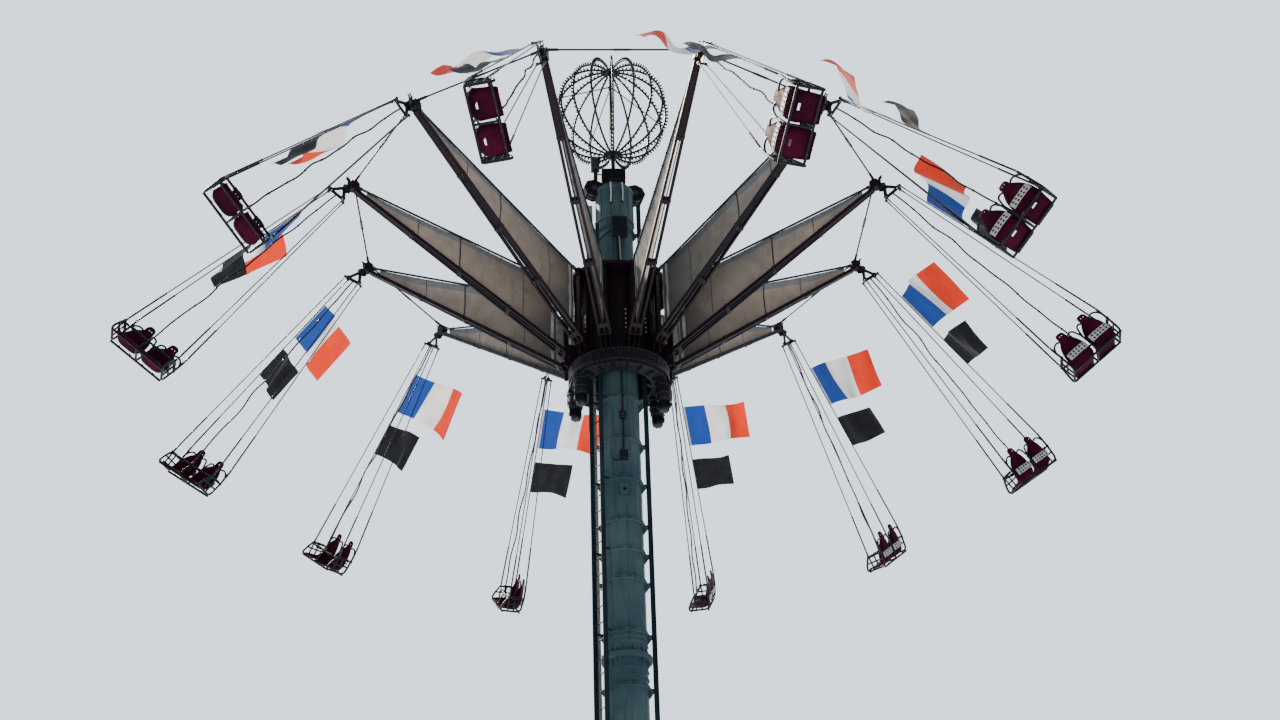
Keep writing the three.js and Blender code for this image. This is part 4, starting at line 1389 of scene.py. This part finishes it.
def sailMesh(index, side):
    stations, rows, borderRows = 66, 18, 4
    points, flat = [], []
    for k in range(stations + 1):
        run = (sail["outer"] - sail["inner"]) * k / stations
        r = sail["inner"] + run
        low, high = sailEdges(r)
        band = min(sail["border"], (high - low) * 0.4) / (high - low)
        shares = [(1 - band) * j / rows for j in range(rows + 1)]
        shares += [1 - band + band * j / borderRows for j in range(1, borderRows + 1)]
        points.append([sailPoint(r, share, side, index * 1.9) for share in shares])
        flat.append([(run * 1.25, (high - low) * share * 0.8) for share in shares])
    return smoothMesh("sail", gridShape(points, flat, lambda k, j: int(j >= rows)), (sailTan, sailEdge))


def tapeShape(points, half):
    # a flat strip that follows the cloth, standing a little off it on both faces
    bm = ringShape([[p + Vector((d, h, 0)) for d, h in
                     ((-half, -0.0022), (half, -0.0022), (half, 0.0022),
                      (-half, 0.0022))] for p in points])
    bmesh.ops.recalc_face_normals(bm, faces=bm.faces)
    return bm


def sailTrim(index, side):
    # hems, seam tape, eyelets and the lacing that ties the sail to its stay and to the hub
    s = sail
    inner, outer, seam, seed = s["inner"], s["outer"], s["seam"], index * 1.9
    b = Build(hemWhite, boltZinc, cableSteel, sailEdge)
    stations = [inner + (outer - inner) * k / 44 for k in range(45)]
    b.tube([sailPoint(r, 0.0, side, seed) + Vector((0, 0, 0.002)) for r in stations], s["hemRadius"], 6)
    b.tube([sailPoint(r, 1.0, side, seed) for r in stations], s["hemRadius"] * 0.9, 6, 3)
    for r in (inner, outer):
        b.tube([sailPoint(r, k / 16, side, seed) for k in range(17)], s["hemRadius"], 6)
    # tapes at the panel joint, along the border at the hub and in the middle of each panel
    for r, half, slot in ((seam, 0.016, 3), (inner + 0.09, 0.028, 0),
                          (inner + 0.35 * (seam - inner), 0.007, 3),
                          (seam + 0.45 * (outer - seam), 0.007, 3)):
        b.put(tapeShape([sailPoint(r, k / 18, side, seed) for k in range(19)], half), slot)
    # lacing round the stay through eyelets in the border
    eyelet = [(0.0055, 0.0), (0.011, 0.0), (0.0105, 0.002), (0.006, 0.002), (0.0055, 0.0)]
    for k in range(s["eyelets"]):
        r = inner + 0.06 + (outer - inner - 0.12) * k / (s["eyelets"] - 1)
        low, high = sailEdges(r)
        eye = sailPoint(r, 1 - 0.022 / (high - low), side, seed)
        for face in (-1, 1):
            b.turned(eyelet, 8, 1, facing(eye + Vector((0, face * 0.001, 0)), (0, face, 0)))
        half = (stayAxis(r) + 0.026 - eye.z) / 2
        loop = [(r + 0.0036 * sin(t), 0.028 * sin(t), eye.z + half - half * cos(t)) for t in fullTurn(10)]
        b.tube(loop, 0.003, 6, 2, closed=True)
    # lacing from the inner hem to the hub
    for k in range(7):
        eye = sailPoint(inner + 0.02, 0.08 + 0.14 * k, side, seed)
        x = arm["hubRadius"] - 0.010
        b.tube([(x, 0, eye.z + 0.05), eye + Vector((0, 0.004, 0)), (x, 0, eye.z - 0.05)], 0.003, 6, 2)
    return b.mesh("sailTrim")


def makeArms():
    data = armMesh()
    for index in range(ride["arms"]):
        n, pose, side = number(index), armFrame(index), 1 if index % 3 else -1
        addPiece(f"beam_{n}", data, "star", [f"arm_{n}"], pose)
        cloth = sailMesh(index, side)
        sheet = addPiece(f"sailCloth_{n}", cloth, "star", [f"sail_{n}"], pose)
        trim = addPiece(f"sailTrim_{n}", sailTrim(index, side), "star", (), pose)
    print("arms and sails made")


makeArms()


# Tie rods from tip to tip, each with forked ends and a turnbuckle, on bolted saddle plates.

tie = {
    "radius": 0.016,
    "endRadius": 0.026,
    "endLength": 0.18,
    "height": 0.092,
    "reach": 5.14,
    "saddleHalf": 0.084,
}


def tieRodMesh():
    t = tie
    b = Build(maroonPaint, tubePaint, boltZinc)
    wide, thin, long = t["endRadius"], t["radius"], t["endLength"]
    lug = roundedCorners([(-0.02, 0.0), (0.03, 0.0), (0.024, 0.034), (-0.012, 0.034)], 0.006)
    for index in range(ride["arms"]):
        angles = [radians(ride["firstAzimuth"]) + 2 * pi / ride["arms"] * k for k in (index, index + 1)]
        start, end = (Vector((t["reach"] * sin(a), -t["reach"] * cos(a), t["height"])) for a in angles)
        way, half = (end - start).normalized(), (end - start).length / 2
        stations = [(0.05, 0.018), (0.06, wide), (0.06 + long, wide), (0.085 + long, 0.017),
                    (0.14 + long, thin),
                    (half - 0.17, thin), (half - 0.165, 0.019), (half - 0.11, 0.019), (half - 0.105,
                                                                                       thin * 0.8),
                    (half, thin * 0.8)]
        for origin, sign in ((start, 1), (end, -1)):
            b.tube([origin + way * sign * s for s, r in stations], [r for s, r in stations], 12, 1)
        side = Vector((0, 0, 1)).cross(way)
        for offset in (-0.021, 0.021):
            middle = (start + end) / 2 + side * offset
            b.tube([middle - way * 0.12, middle + way * 0.12], 0.006, 8, 1)
        # lugs on the saddle of the arm, with the pins of both rods
        pose = turnZ(angles[0] - pi / 2)
        saddle = roundedBox(5.072, 5.198, -t["saddleHalf"], t["saddleHalf"], 0.018)
        b.plate([saddle], 0.023, 0.002, 0, pose @ move(0, 0, 0.0722))
        for turn in (-1, 1):
            for x in (5.088, 5.182):
                b.bolt(0.010, 2, pose @ move(x, turn * 0.066, 0.0837))
            place = pose @ move(5.135, turn * 0.032, 0.083)
            b.plate([lug], 0.012, 0.001, 0, place @ upright)
            b.tube([(0, -0.02, 0.014), (0, 0.02, 0.014)], 0.009, 10, 1, place)
    return b.mesh("tieRods")


addPiece("tieRods", tieRodMesh(), "star", ["tie_rod_ring"], move(0, 0, ride["ringHeight"]))
print("tie rods made")


# Column: twelve-sided shell with weld seams, collars, guide rails, splice, conduit and base.

column = {
    "radius": 0.355,
    "sides": 12,
    "top": 22.03,
    "splice": 12.17,
    "collarRadius": 0.395,
    "collarHalf": 0.028,
    "rail": (0.432, 0.518),
    "railHalf": 0.028,
    "railTop": 21.79,
    "railFoot": 0.59,
    "upperCollars": (-9.60, -8.64, -7.68, -7.14, -6.57, -5.76, -4.95, -4.09, -3.10, -2.13, -1.16, -0.19),
    "lowerPitch": 0.97,
    "lowest": 0.65,
    "baseRadius": 0.75,
    "baseHeight": 0.04,
    "bandInner": 0.34,
    "railLength": 2.91,
    "gussets": 12,
    "anchors": 24,
}


def polygonTube(b, inner, outer, low, high, sides=0, bevel=0.003):
    b.turned(ringProfile(inner, outer, low, high, bevel), sides or column["sides"])


def shellShape(low, high):
    # facets with a narrow chamfer along each corner, as folded plate has
    radius, sides = column["radius"], column["sides"]
    flat, half = radius * cos(pi / sides), radius * sin(pi / sides) - 0.008
    steps = max(2, round((high - low) / 0.5))
    facets = [turn @ Vector((flat, side * half, 0)) for turn in turns(sides, 0.5) for side in (-1, 1)]
    return ringShape([[p + Vector((0, 0, low + (high - low) * j / steps)) for p in facets]
                      for j in range(steps + 1)])


def weldRing(b, z):
    bead = [(0.352, -0.007), (0.3585, -0.003), (0.3595, 0), (0.3585, 0.003), (0.352, 0.007)]
    b.turned(bead, column["sides"], 0, move(0, 0, z))


def collarParts(b, z):
    # band in two halves with bolted ears, arms to both rails and triangular brackets under them
    half, reach, inner = column["collarHalf"], column["collarRadius"], column["bandInner"]
    polygonTube(b, inner, reach - 0.012, z - half + 0.006, z + half - 0.006)
    for edge in (z - half + 0.006, z + half - 0.006):
        polygonTube(b, inner, reach, edge - 0.006, edge + 0.006, bevel=0.002)
    for side in (-1, 1):
        low, high = side * 0.37, side * 0.44
        for base in (z - half + 0.008, z + half - 0.018):
            b.block((low, -0.021, base), (high, 0.021, base + 0.010), 0.002)
        b.block((low, -0.005, z - half + 0.012), (high, 0.005, z + half - 0.012))
        bracket = [(side * 0.35, z - half), (side * 0.45, z - half), (side * 0.35, z - 0.17)]
        b.plate([bracket[::side]], 0.010, 0.001, 0, upright)
        for y in (-0.015, 0.015):
            b.bolt(0.006, 2, move(side * 0.42, y, z + half - 0.008))
        # ears where the two halves of the band meet
        for turn in (-1, 1):
            place = turnZ(radians(turn * 90 + side * 15))
            for y in (-0.014, 0.014):
                b.plate([roundedBox(-0.004, 0.036, -0.022, 0.022, 0.006)], 0.009, 0.001, 0,
                        place @ move(0.378, y, z) @ upright)
            b.tube([(0.398, -0.026, z), (0.398, 0.026, z)], 0.0065, 8, 2, place)


def railParts(b, low, high, leftSlot, rightSlot):
    # channel rails: web towards the column, lip outwards, joint plates every few metres
    (inner, outer), half = column["rail"], column["railHalf"]
    # the left rail takes the pale paint as painted highlight of its lit side, the right rail the dark teal
    # as painted shade
    for side, slot in ((-1, leftSlot), (1, rightSlot)):
        for x in (inner, outer - 0.010):
            b.block((side * x, -half, low), (side * (x + 0.010), half, high), 0.002, slot)
        b.block((side * (inner + 0.004), -0.006, low), (side * (outer - 0.004), 0.006, high), 0, slot)
        z = low + 2.4
        while z < high - 0.5:
            for face in (-1, 1):
                b.block((side * (inner + 0.012), face * 0.011 - 0.005, z - 0.12),
                        (side * (outer - 0.012), face * 0.011 + 0.005, z + 0.12), 0.002, slot)
                for dz in (-0.08, -0.03, 0.03, 0.08):
                    b.bolt(0.006, 2, facing((side * (inner + outer) / 2, face * 0.016, z + dz),
                                            (0, face, 0)))
            z += column["railLength"]


def lowerCollars():
    # heights of the collars from the splice down
    c = column
    count = int((c["splice"] - 0.52 - c["lowest"]) / c["lowerPitch"])
    return [c["splice"] - 0.52 - c["lowerPitch"] * (k + 1) for k in range(count)]


def lowerColumnMesh():
    c = column
    b = Build(towerPaint, tubePaint, boltZinc, palePaintAndHighlight, tealPaint)
    b.put(shellShape(0.03, c["splice"] - 0.001), 0)
    # base flange with gussets, anchor bolts and their nuts
    polygonTube(b, 0.30, c["baseRadius"], 0.0, c["baseHeight"], 48, 0.004)
    gusset = [(0.335, 0.036), (0.724, 0.036), (0.724, 0.078), (0.395, 0.52), (0.335, 0.52)]
    for turn in turns(c["gussets"]):
        b.plate([gusset, circle(0.43, 0.13, 0.03, 16)], 0.022, 0.0015, 0, turn @ upright)
        b.tube([(0.344, 0.013, 0.06), (0.344, 0.013, 0.50)], 0.006, 6, 0, turn)
    for turn in turns(c["anchors"], 0.5):
        place = turn @ move(0.66, 0, c["baseHeight"])
        b.bolt(0.024, 2, place, 0.026)
        b.tube([(0, 0, 0.02), (0, 0, 0.075), (0, 0, 0.08)], [0.0145, 0.0145, 0.011], 12, 2, place)
    for height in [ride["ringHeight"] + c["upperCollars"][0], *lowerCollars()]:
        collarParts(b, height)
        weldRing(b, height - 0.42)
    # two doubling belts between the splice's collar and its flange
    for z in (c["splice"] - 0.36, c["splice"] - 0.22):
        polygonTube(b, c["bandInner"], 0.372, z - 0.02, z + 0.02)
    spliceFlange(b, c["splice"] - 0.0002, -1)
    # left rail in the pale paint as painted highlight, right rail in dark teal as painted shade
    railParts(b, c["railFoot"], c["splice"] - 0.0004, 3, 4)
    # bolted access door of the cable duct
    flat = c["radius"] * cos(pi / c["sides"])
    place = turnZ(radians(-75)) @ move(flat + 0.004, 0, 1.22) @ acrossX
    b.plate([roundedBox(-0.08, 0.08, -0.19, 0.19, 0.02)], 0.010, 0.0015, 0, place)
    for x, y in product((-0.06, 0.06), (-0.16, 0.16)):
        b.bolt(0.007, 2, place @ move(x, y, 0.004))
    return b.mesh("columnLower")


def spliceFlange(b, face, side):
    # flange ring on one side of the joint, with ribs and the joint's bolts
    z = face + side * 0.0445
    polygonTube(b, column["bandInner"], 0.43, min(face, z), max(face, z), 48)
    rib = [(0.345, 0), (0.388, 0), (0.352, 0.13), (0.345, 0.13)]
    for turn in turns(24):
        b.plate([rib], 0.007, 0.0008, 0, turn @ move(0, 0, z) @ Matrix.Diagonal((1, 1, side, 1))
                @ upright)
    b.ring(boltShape(0.0095), 0.408, z, 24, 2, 0.5, side < 0)


def upperColumnMesh():
    c = column
    ring = ride["ringHeight"]
    b = Build(towerPaint, tubePaint, boltZinc, palePaintAndHighlight, blackRubber, oilySteel, tealPaint)
    b.put(shellShape(c["splice"] + 0.001, c["top"]), 0)
    spliceFlange(b, c["splice"] + 0.0002, 1)
    for z in (c["splice"] + 0.24, c["splice"] + 0.34):
        polygonTube(b, c["bandInner"], 0.372, z - 0.02, z + 0.02)
    for z in c["upperCollars"][1:]:
        collarParts(b, ring + z)
    for z in (-8.1, -6.1, -5.3, -4.3, -2.6, -1.65):
        weldRing(b, ring + z)
    # left rail in the pale paint as painted highlight, right rail in dark teal as painted shade
    railParts(b, c["splice"] + 0.0004, c["railTop"], 3, 6)
    # supply conduit down the front with its clips, boxes and inspection plate
    front = turnZ(radians(5 - 90)) @ move(0, 0, ring)
    b.tube([(0.408, 0, -0.5), (0.408, 0, -4.46)], 0.013, 10, 4, front)
    b.tube([(0.408, 0, -4.56), (0.404, 0.006, -4.8), (0.404, -0.004, -5.05), (0.408, 0, -5.27)], 0.013,
           10, 4, front)
    for k in range(10):
        z = -0.7 - 0.48 * k
        clip = [(0.39, -0.024, z), (0.424, -0.018, z), (0.424, 0.018, z), (0.39, 0.024, z)]
        b.tube(bent(clip, 0.012, 3), 0.005, 6, 2, front)
    blocks = (((0.34, -0.009, -5.34), (0.398, 0.009, -0.5), 0.002, 0),
              ((0.338, -0.058, -4.578), (0.443, 0.058, -4.442), 0.012, 1),
              ((0.338, -0.074, -5.418), (0.446, 0.074, -5.252), 0.010, 1),
              ((0.444, -0.055, -5.40), (0.449, 0.055, -5.27), 0.004, 1),
              # supply cabinet under the cap with its door
              ((0.385, -0.115, -0.52), (0.444, 0.20, -0.04), 0.012, 1),
              ((0.440, -0.09, -0.495), (0.450, 0.175, -0.065), 0.005, 1),
              # back of the inspection plate
              ((0.335, -0.095, -6.105), (0.373, 0.095, -5.895), 0.003, 1))
    for low, high, bevel, slot in blocks:
        b.block(low, high, bevel, slot, front)
    for z in (-0.10, -0.46):
        b.block((0.315, -0.10, z - 0.02), (0.390, 0.185, z + 0.02), 0.003, 0, front)
    b.tube([(0.443, 0, -4.51), (0.447, 0, -4.51)], 0.03, 20, 5, front)
    b.tube([(0.448, 0.15, -0.30), (0.452, 0.15, -0.30)], 0.014, 12, 5, front)
    tail = [(0.42, -0.06, -5.40), (0.42, -0.10, -5.47), (0.39, -0.17, -5.44), (0.372, -0.20, -5.40)]
    b.tube(bent(tail, 0.03, 4), 0.011, 8, 4, front)
    b.tube([(0.41, 0.03, -0.50), (0.41, 0.035, -0.80), (0.405, 0.05, -1.08)], 0.013, 10, 3, front)
    # a cable slung across the column's left front to the cabinet
    slung = [(0.372 * cos(radians(a)), 0.372 * sin(radians(a)), -0.32 + 0.002 * a)
             for a in (-75, -60, -45, -30)]
    b.tube(bent([*slung, (0.405, -0.12, -0.35)], 0.04, 4), 0.011, 8, 4, front)
    b.plate([roundedBox(-0.098, 0.098, -0.108, 0.108, 0.012), circle(0, 0, 0.034, 24)], 0.012, 0.002, 0,
            front @ move(0.378, 0, -6.0) @ acrossX)
    for dy, dz in product((-0.08, 0.08), (-0.09, 0.09)):
        b.bolt(0.007, 2, front @ facing((0.383, dy, -6.0 + dz), (1, 0, 0)))
    return b.mesh("columnUpper")


# Ladder on collar brackets: stiles, round rungs, splice plates.

ladder = {
    "azimuth": -60,
    "reach": 0.515,
    "stile": 0.044,
    "half": 0.168,
    "low": 0.6,
    "high": 21.05,
    "pitch": 0.3,
}


def ladderMesh():
    d = ladder
    reach, stile, half, low, high = (d[k] for k in ("reach", "stile", "half", "low", "high"))
    b = Build(tealPaint, boltZinc)
    for side in (-1, 1):
        y = side * half
        b.block((reach - stile, y - 0.004, low), (reach + stile, y + 0.004, high), 0.0015)
        for x in (reach + 0.003 - stile, reach + stile - 0.003):
            b.block((x - 0.003, y - 0.0085, low), (x + 0.003, y + 0.0085, high))
    for count in range(ceil((high - low - 0.2) / d["pitch"])):
        z = low + 0.15 + d["pitch"] * count
        b.tube([(reach, -half + 0.002, z), (reach, half - 0.002, z)], 0.0115)
        if count % 10 == 6:
            # splice plates inside the stiles
            for side in (-1, 1):
                y = side * (half - 0.009)
                b.block((reach - 0.036, y - 0.004, z - 0.10), (reach + 0.036, y + 0.004, z + 0.10),
                        0.0015)
                for dz in (-0.07, -0.03, 0.03, 0.07):
                    b.bolt(0.005, 1, facing((reach, y - side * 0.004, z + dz), (0, -side, 0)))
    # a pair of brackets to every second collar
    heights = lowerCollars() + [ride["ringHeight"] + h for h in column["upperCollars"]]
    for height, side in product([h for h in heights[::2] if low + 0.1 < h < high - 0.1], (-1, 1)):
        y = side * (half - 0.022)
        inner = 0.384
        b.block((inner, y - 0.004, height - 0.019), (reach, y + 0.004, height + 0.019), 0.001)
        b.block((inner, y - 0.015, height + 0.011), (reach, y + 0.015, height + 0.019), 0.001)
        b.block((inner - 0.004, y - 0.016, height - 0.03), (inner + 0.008, y + 0.016, height + 0.03),
                0.002)
        b.bolt(0.006, 1, facing((reach - 0.03, y + 0.004, height), (0, 1, 0)))
    return b.mesh("ladder")


addPiece("columnLowerShell", lowerColumnMesh(), "tower", ["column_lower"], None)
addPiece("columnUpperShell", upperColumnMesh(), "tower", ["column_upper"], None)
addPiece("ladderRun", ladderMesh(), "tower", ["ladder"], turnZ(radians(ladder["azimuth"] - 90)))
print("column and ladder made")


# Tower head: drum cap, sheave housings on both sides, framed pedestal under the globe.

head = {
    "capRadius": 0.390,
    "capWall": 0.034,
    "capHeight": 0.828,
    "sheaveTurn": 12,
    "sheaveReach": 0.42,
    "sheaveHeight": 0.85,
    "sheaveRadius": 0.203,
    "sheaveHalf": 0.108,
    "legReach": 0.2,
    "boxHalf": 0.238,
    "boxLow": 1.05,
    "boxHigh": 1.298,
    "mastFoot": 1.378,
}


def sheaveHousing(b, side):
    # eight-sided cheeks with two grooved wheels on their axle, and a hood left open below for the ropes
    half = head["sheaveHalf"]
    reach = move(side * head["sheaveReach"], 0, head["sheaveHeight"])
    centre = turnZ(radians(head["sheaveTurn"])) @ reach
    corners = circle(0, 0, head["sheaveRadius"], 8)
    for y in (-half + 0.008, 0, half - 0.008):
        b.plate([corners], 0.014, 0.002, 1, centre @ move(0, y, 0) @ upright)
    for k in range(-1, 5):
        (x0, z0), (x1, z1) = corners[k], corners[k + 1]
        lean = Matrix.Rotation(-atan2(z1 - z0, x1 - x0), 4, "Y")
        b.block((0, -half + 0.004, -0.004), (hypot(x1 - x0, z1 - z0), half - 0.004, 0.004), 0, 1,
                centre @ move(x0, 0, z0) @ lean)
        for y in (-0.07, 0.07):
            out = Vector(((x0 + x1) / 2, 0, (z0 + z1) / 2))
            b.bolt(0.008, 2, centre @ facing(out + Vector((0, y, 0)), out), 0.006)
    wheel = [(0.04, -0.035), (0.172, -0.03), (0.18, -0.025), (0.162, 0.0), (0.18, 0.025), (0.172, 0.03),
             (0.04, 0.035)]
    for y in (-0.05, 0.05):
        b.turned(wheel, 40, 3, centre @ facing((0, y, 0), (0, 1, 0)))
    b.tube([(0, -half, 0), (0, half, 0)], 0.034, 20, 3, centre)
    boss = [(0, -0.006), (0.062, -0.006), (0.06, 0.008), (0.04, 0.012), (0, 0.012)]
    for face in (-1, 1):
        b.turned(boss, 24, 3, centre @ facing((0, face * (half - 0.004), 0), (0, face, 0)))
        for k in range(8):
            t = 2 * pi * (k + 0.5) / 8
            b.bolt(0.009, 2, centre @ facing((0.155 * cos(t), face * (half - 0.001), 0.155 * sin(t)),
                                             (0, face, 0)))


def headMesh():
    h = head
    b = Build(towerPaint, maroonPaint, boltZinc, oilySteel, tubePaint, lampGlassAndHighlight)
    outer, tall = h["capRadius"], h["capHeight"]
    inner = outer - h["capWall"] + 0.002
    drum = [(inner, 0.0), (outer - 0.004, 0.0), (outer, 0.006), (outer, 0.045), (outer - 0.014, 0.055),
            (outer - 0.014, 0.73),
            (outer, 0.745), (outer, 0.815), (outer - 0.01, tall), (0, tall), (0, 0.785), (inner,
                                                                                          0.785), (inner,
                                                                                                   0.0)]
    b.turned(drum, 48)
    b.ring(boltShape(0.010), outer - 0.025, tall - 0.001, 24, 2, 0.5)
    for turn in turns(12, 0.5):
        b.block((outer - 0.02, -0.006, 0.05), (outer - 0.003, 0.006, 0.74), 0.002, 0, turn)
    # two pipes down the front of the cap, bent in over its top, in the near-white lamp glass: painted
    # highlight streaks
    for turn, foot in ((-11, 0.34), (23, 0.38)):
        pose = turnZ(radians(turn - 90))
        pipe = [(0.16, 0, 0.845), (outer + 0.012, 0, 0.85), (outer + 0.012, 0.01, 0.6),
                (outer + 0.004, 0.0, foot)]
        b.tube(bent(pipe, 0.05), 0.013, 10, 5, pose)
        b.block((outer - 0.016, -0.022, foot - 0.03), (outer + 0.012, 0.022, foot + 0.02), 0.004, 4, pose)
        b.block((outer - 0.016, -0.022, 0.55), (outer + 0.008, 0.022, 0.57), 0.003, 4, pose)
    for side in (-1, 1):
        sheaveHousing(b, side)
    # pedestal: four legs with diagonal stays and the louvred box that carries the globe
    reach, half, low, high, foot = (h[k] for k in ("legReach", "boxHalf", "boxLow", "boxHigh",
                                                   "mastFoot"))
    for x, y in product((-reach, reach), repeat=2):
        b.block((x - 0.028, y - 0.028, 0.825), (x + 0.028, y + 0.028, low + 0.01), 0.005, 1)
        b.block((x - 0.05, y - 0.05, 0.826), (x + 0.05, y + 0.05, 0.842), 0.004, 1)
        for d in (-0.036, 0.036):
            b.bolt(0.008, 2, move(x + d, y + d, 0.842))
    b.block((-half + 0.014, -half + 0.014, low + 0.004), (half - 0.014, half - 0.014, high - 0.004),
            0.004, 1)
    for pose in turns(4):
        b.tube([(-reach, reach, 0.86), (reach, reach, low - 0.01)], 0.012, 8, 1, pose)
        for z in (low, high - 0.03):
            b.block((-half, half - 0.03, z), (half, half, z + 0.03), 0.003, 1, pose)
        b.block((half - 0.03, half - 0.03, low), (half, half, high), 0.003, 1, pose)
        for k in range(5):
            z = low + 0.06 + k * 0.026
            b.block((-0.14, half - 0.016, z), (0.14, half - 0.006, z + 0.012), 0.002, 4, pose)
    b.turned([(0, high - 0.005), (0.148, high - 0.005), (0.148, high + 0.02), (0.11, high + 0.026),
              (0.085, foot - 0.02),
              (0.12, foot - 0.016), (0.12, foot), (0, foot)], 32, 1)
    b.ring(boltShape(0.009), 0.128, high + 0.02, 8, 2)
    # dark speaker box on the pedestal's left, hung from a bracket with its plug box below
    b.tube(bent([(-0.225, -0.10, 1.24), (-0.34, -0.12, 1.24), (-0.36, -0.12, 1.34)], 0.04), 0.014, 8, 4)
    b.block((-0.45, -0.21, 1.32), (-0.28, -0.05, 1.62), 0.014, 4)
    b.block((-0.435, -0.216, 1.335), (-0.295, -0.208, 1.605), 0.006, 3)
    b.block((-0.40, -0.18, 1.05), (-0.32, -0.09, 1.322), 0.010, 4)
    return b.mesh("towerHead")


# Crown globe: eight hoops through both poles, studded with lamp sockets, round a mast.

globe = {
    "centre": 2.938,
    "radius": 1.12,
    "hoops": 8,
    "ribRadius": 0.021,
    "studs": 40,
    "studRadius": 0.020,
    "studLength": 0.052,
    "mastRadius": 0.044,
    "stays": 4,
}


def globeMesh():
    # drawn about the globe's centre, then lifted onto the head
    g = globe
    b = Build(tubePaint, tealPaint, boltZinc, oilySteel)
    radius, wide, tall, studs = g["radius"], g["studRadius"], g["studLength"], g["studs"]
    lamp = turnedShape([(0, -0.006), (wide, -0.006), (wide, tall * 0.4), (wide * 0.8, tall * 0.46),
                        (wide * 0.9, tall * 0.7), (wide * 0.6, tall), (0, tall)], 6)
    hoop = [(x, 0, z) for x, z in circle(0, 0, radius, 96)]
    for k in range(g["hoops"]):
        turn = turnZ(pi * k / g["hoops"])
        b.tube(hoop, g["ribRadius"], 8, 0, turn, closed=True)
        for half, n in product((-1, 1), range(1, studs - 1)):
            t = pi * (n + 1.2) / (studs + 1.4) - pi / 2
            out = Vector((cos(t) * half, 0, sin(t)))
            b.put(lamp, 1, turn @ facing(out * (radius + g["ribRadius"] * 0.7), out), keep=True)
    lamp.free()
    cap = [(0, -0.03), (0.112, -0.03), (0.118, -0.024), (0.118, 0.024), (0.112, 0.03), (0, 0.03)]
    for pole in (-radius, radius):
        b.turned(cap, 32, 0, move(0, 0, pole))
        b.ring(boltShape(0.006), 0.09, pole + 0.029, 8, 2)
    base = 1.3804 - g["centre"]
    b.tube([(0, 0, base + 0.0002), (0, 0, 2.2 - g["centre"]), (0, 0, radius - 0.03)], g["mastRadius"],
           20, 1)
    foot = [(0, 0), (0.082, 0), (0.082, 0.0176), (0.058, 0.0246), (0.05, 0.0596), (0, 0.0596)]
    b.turned(foot, 28, 1, move(0, 0, base))
    for z in (0.66, 0.70, -0.4):
        b.turned([(0.04, -0.03), (0.056, -0.028), (0.058, 0.028), (0.04, 0.03)], 24, 3, move(0, 0, z))
    start, end = Vector((0.03, 0, 0.70)), Vector((1.11, 0, 0.06))
    way = (end - start).normalized()
    stay = [start, start + way * 0.1, start + way * 0.11, end - way * 0.1, end - way * 0.09, end]
    for k in range(g["stays"]):
        b.tube(stay, [0.016, 0.016, 0.012, 0.012, 0.016, 0.016], 10, 1,
               turnZ(radians(22.5 + 360 / g["stays"] * k - 90)))
    b.bm.transform(move(0, 0, g["centre"]))
    return b.mesh("crownGlobe")


addPiece("towerHeadAssembly", headMesh(), "tower", ["tower_head"], ringLevel)
addPiece("crownGlobeFrame", globeMesh(), "tower", ["crown_globe"], ringLevel)
print("head and globe made")


# Studio: pale floor, a soft sky that is brightest behind the ride, one broad key light from the back left.

studio = {
    "floorColour": "c9cccd",
    "floorPatches": "c3c7c9",
    "skyColour": "dde8f3",
    "skyTowards": (-0.1, 0.75, 0.65),
    "skyBright": 2.1,
    "skyDim": 0.26,
    "sunStrength": 9.0,
    "sunColour": "fff1dd",
    "sunAngle": 6.0,
    "sunFrom": (-40.0, 45.0, 60.0),
}


def makeStudio():
    s = studio
    world = bpy.data.worlds.new("studioSky")
    world.use_nodes = True
    tree = world.node_tree
    sky = tree.nodes["Background"]
    sky.inputs["Color"].default_value = tint(s["skyColour"])
    way = tree.nodes.new("ShaderNodeTexCoord")
    facing = tree.nodes.new("ShaderNodeVectorMath")
    facing.operation = "DOT_PRODUCT"
    facing.inputs[1].default_value = s["skyTowards"]
    rise = tree.nodes.new("ShaderNodeMapRange")
    rise.interpolation_type = "SMOOTHSTEP"
    limits = {"From Min": 0.15, "From Max": 0.8, "To Min": s["skyDim"], "To Max": s["skyBright"]}
    for name, limit in limits.items():
        rise.inputs[name].default_value = limit
    tree.links.new(way.outputs["Generated"], facing.inputs[0])
    tree.links.new(facing.outputs["Value"], rise.inputs["Value"])
    tree.links.new(rise.outputs["Result"], sky.inputs["Strength"])
    bpy.context.scene.world = world
    sun = bpy.data.lights.new("key", "SUN")
    sun.energy = s["sunStrength"]
    sun.color = tint(s["sunColour"])[:3]
    sun.angle = radians(s["sunAngle"])
    lamp = bpy.data.objects.new("key", sun)
    bpy.context.scene.collection.objects.link(lamp)
    lamp.location = s["sunFrom"]
    lamp.rotation_mode = "QUATERNION"
    lamp.rotation_quaternion = Vector(s["sunFrom"]).to_track_quat("Z", "Y")
    floorFinish = Finish("floorPaint")
    floorFinish.done(floorFinish.patchy(s["floorColour"], s["floorPatches"], 0.3, 0.7, 2.5, 4),
                     Roughness=0.85)
    bm = bmesh.new()
    bmesh.ops.create_circle(bm, cap_ends=True, segments=96, radius=60)
    data = bpy.data.meshes.new("floor")
    bm.to_mesh(data)
    bm.free()
    data.materials.append(floorFinish.material)
    floor = bpy.data.objects.new("floor", data)
    bpy.context.scene.collection.objects.link(floor)
    floor.location.z = -0.002


makeStudio()
print("studio made")
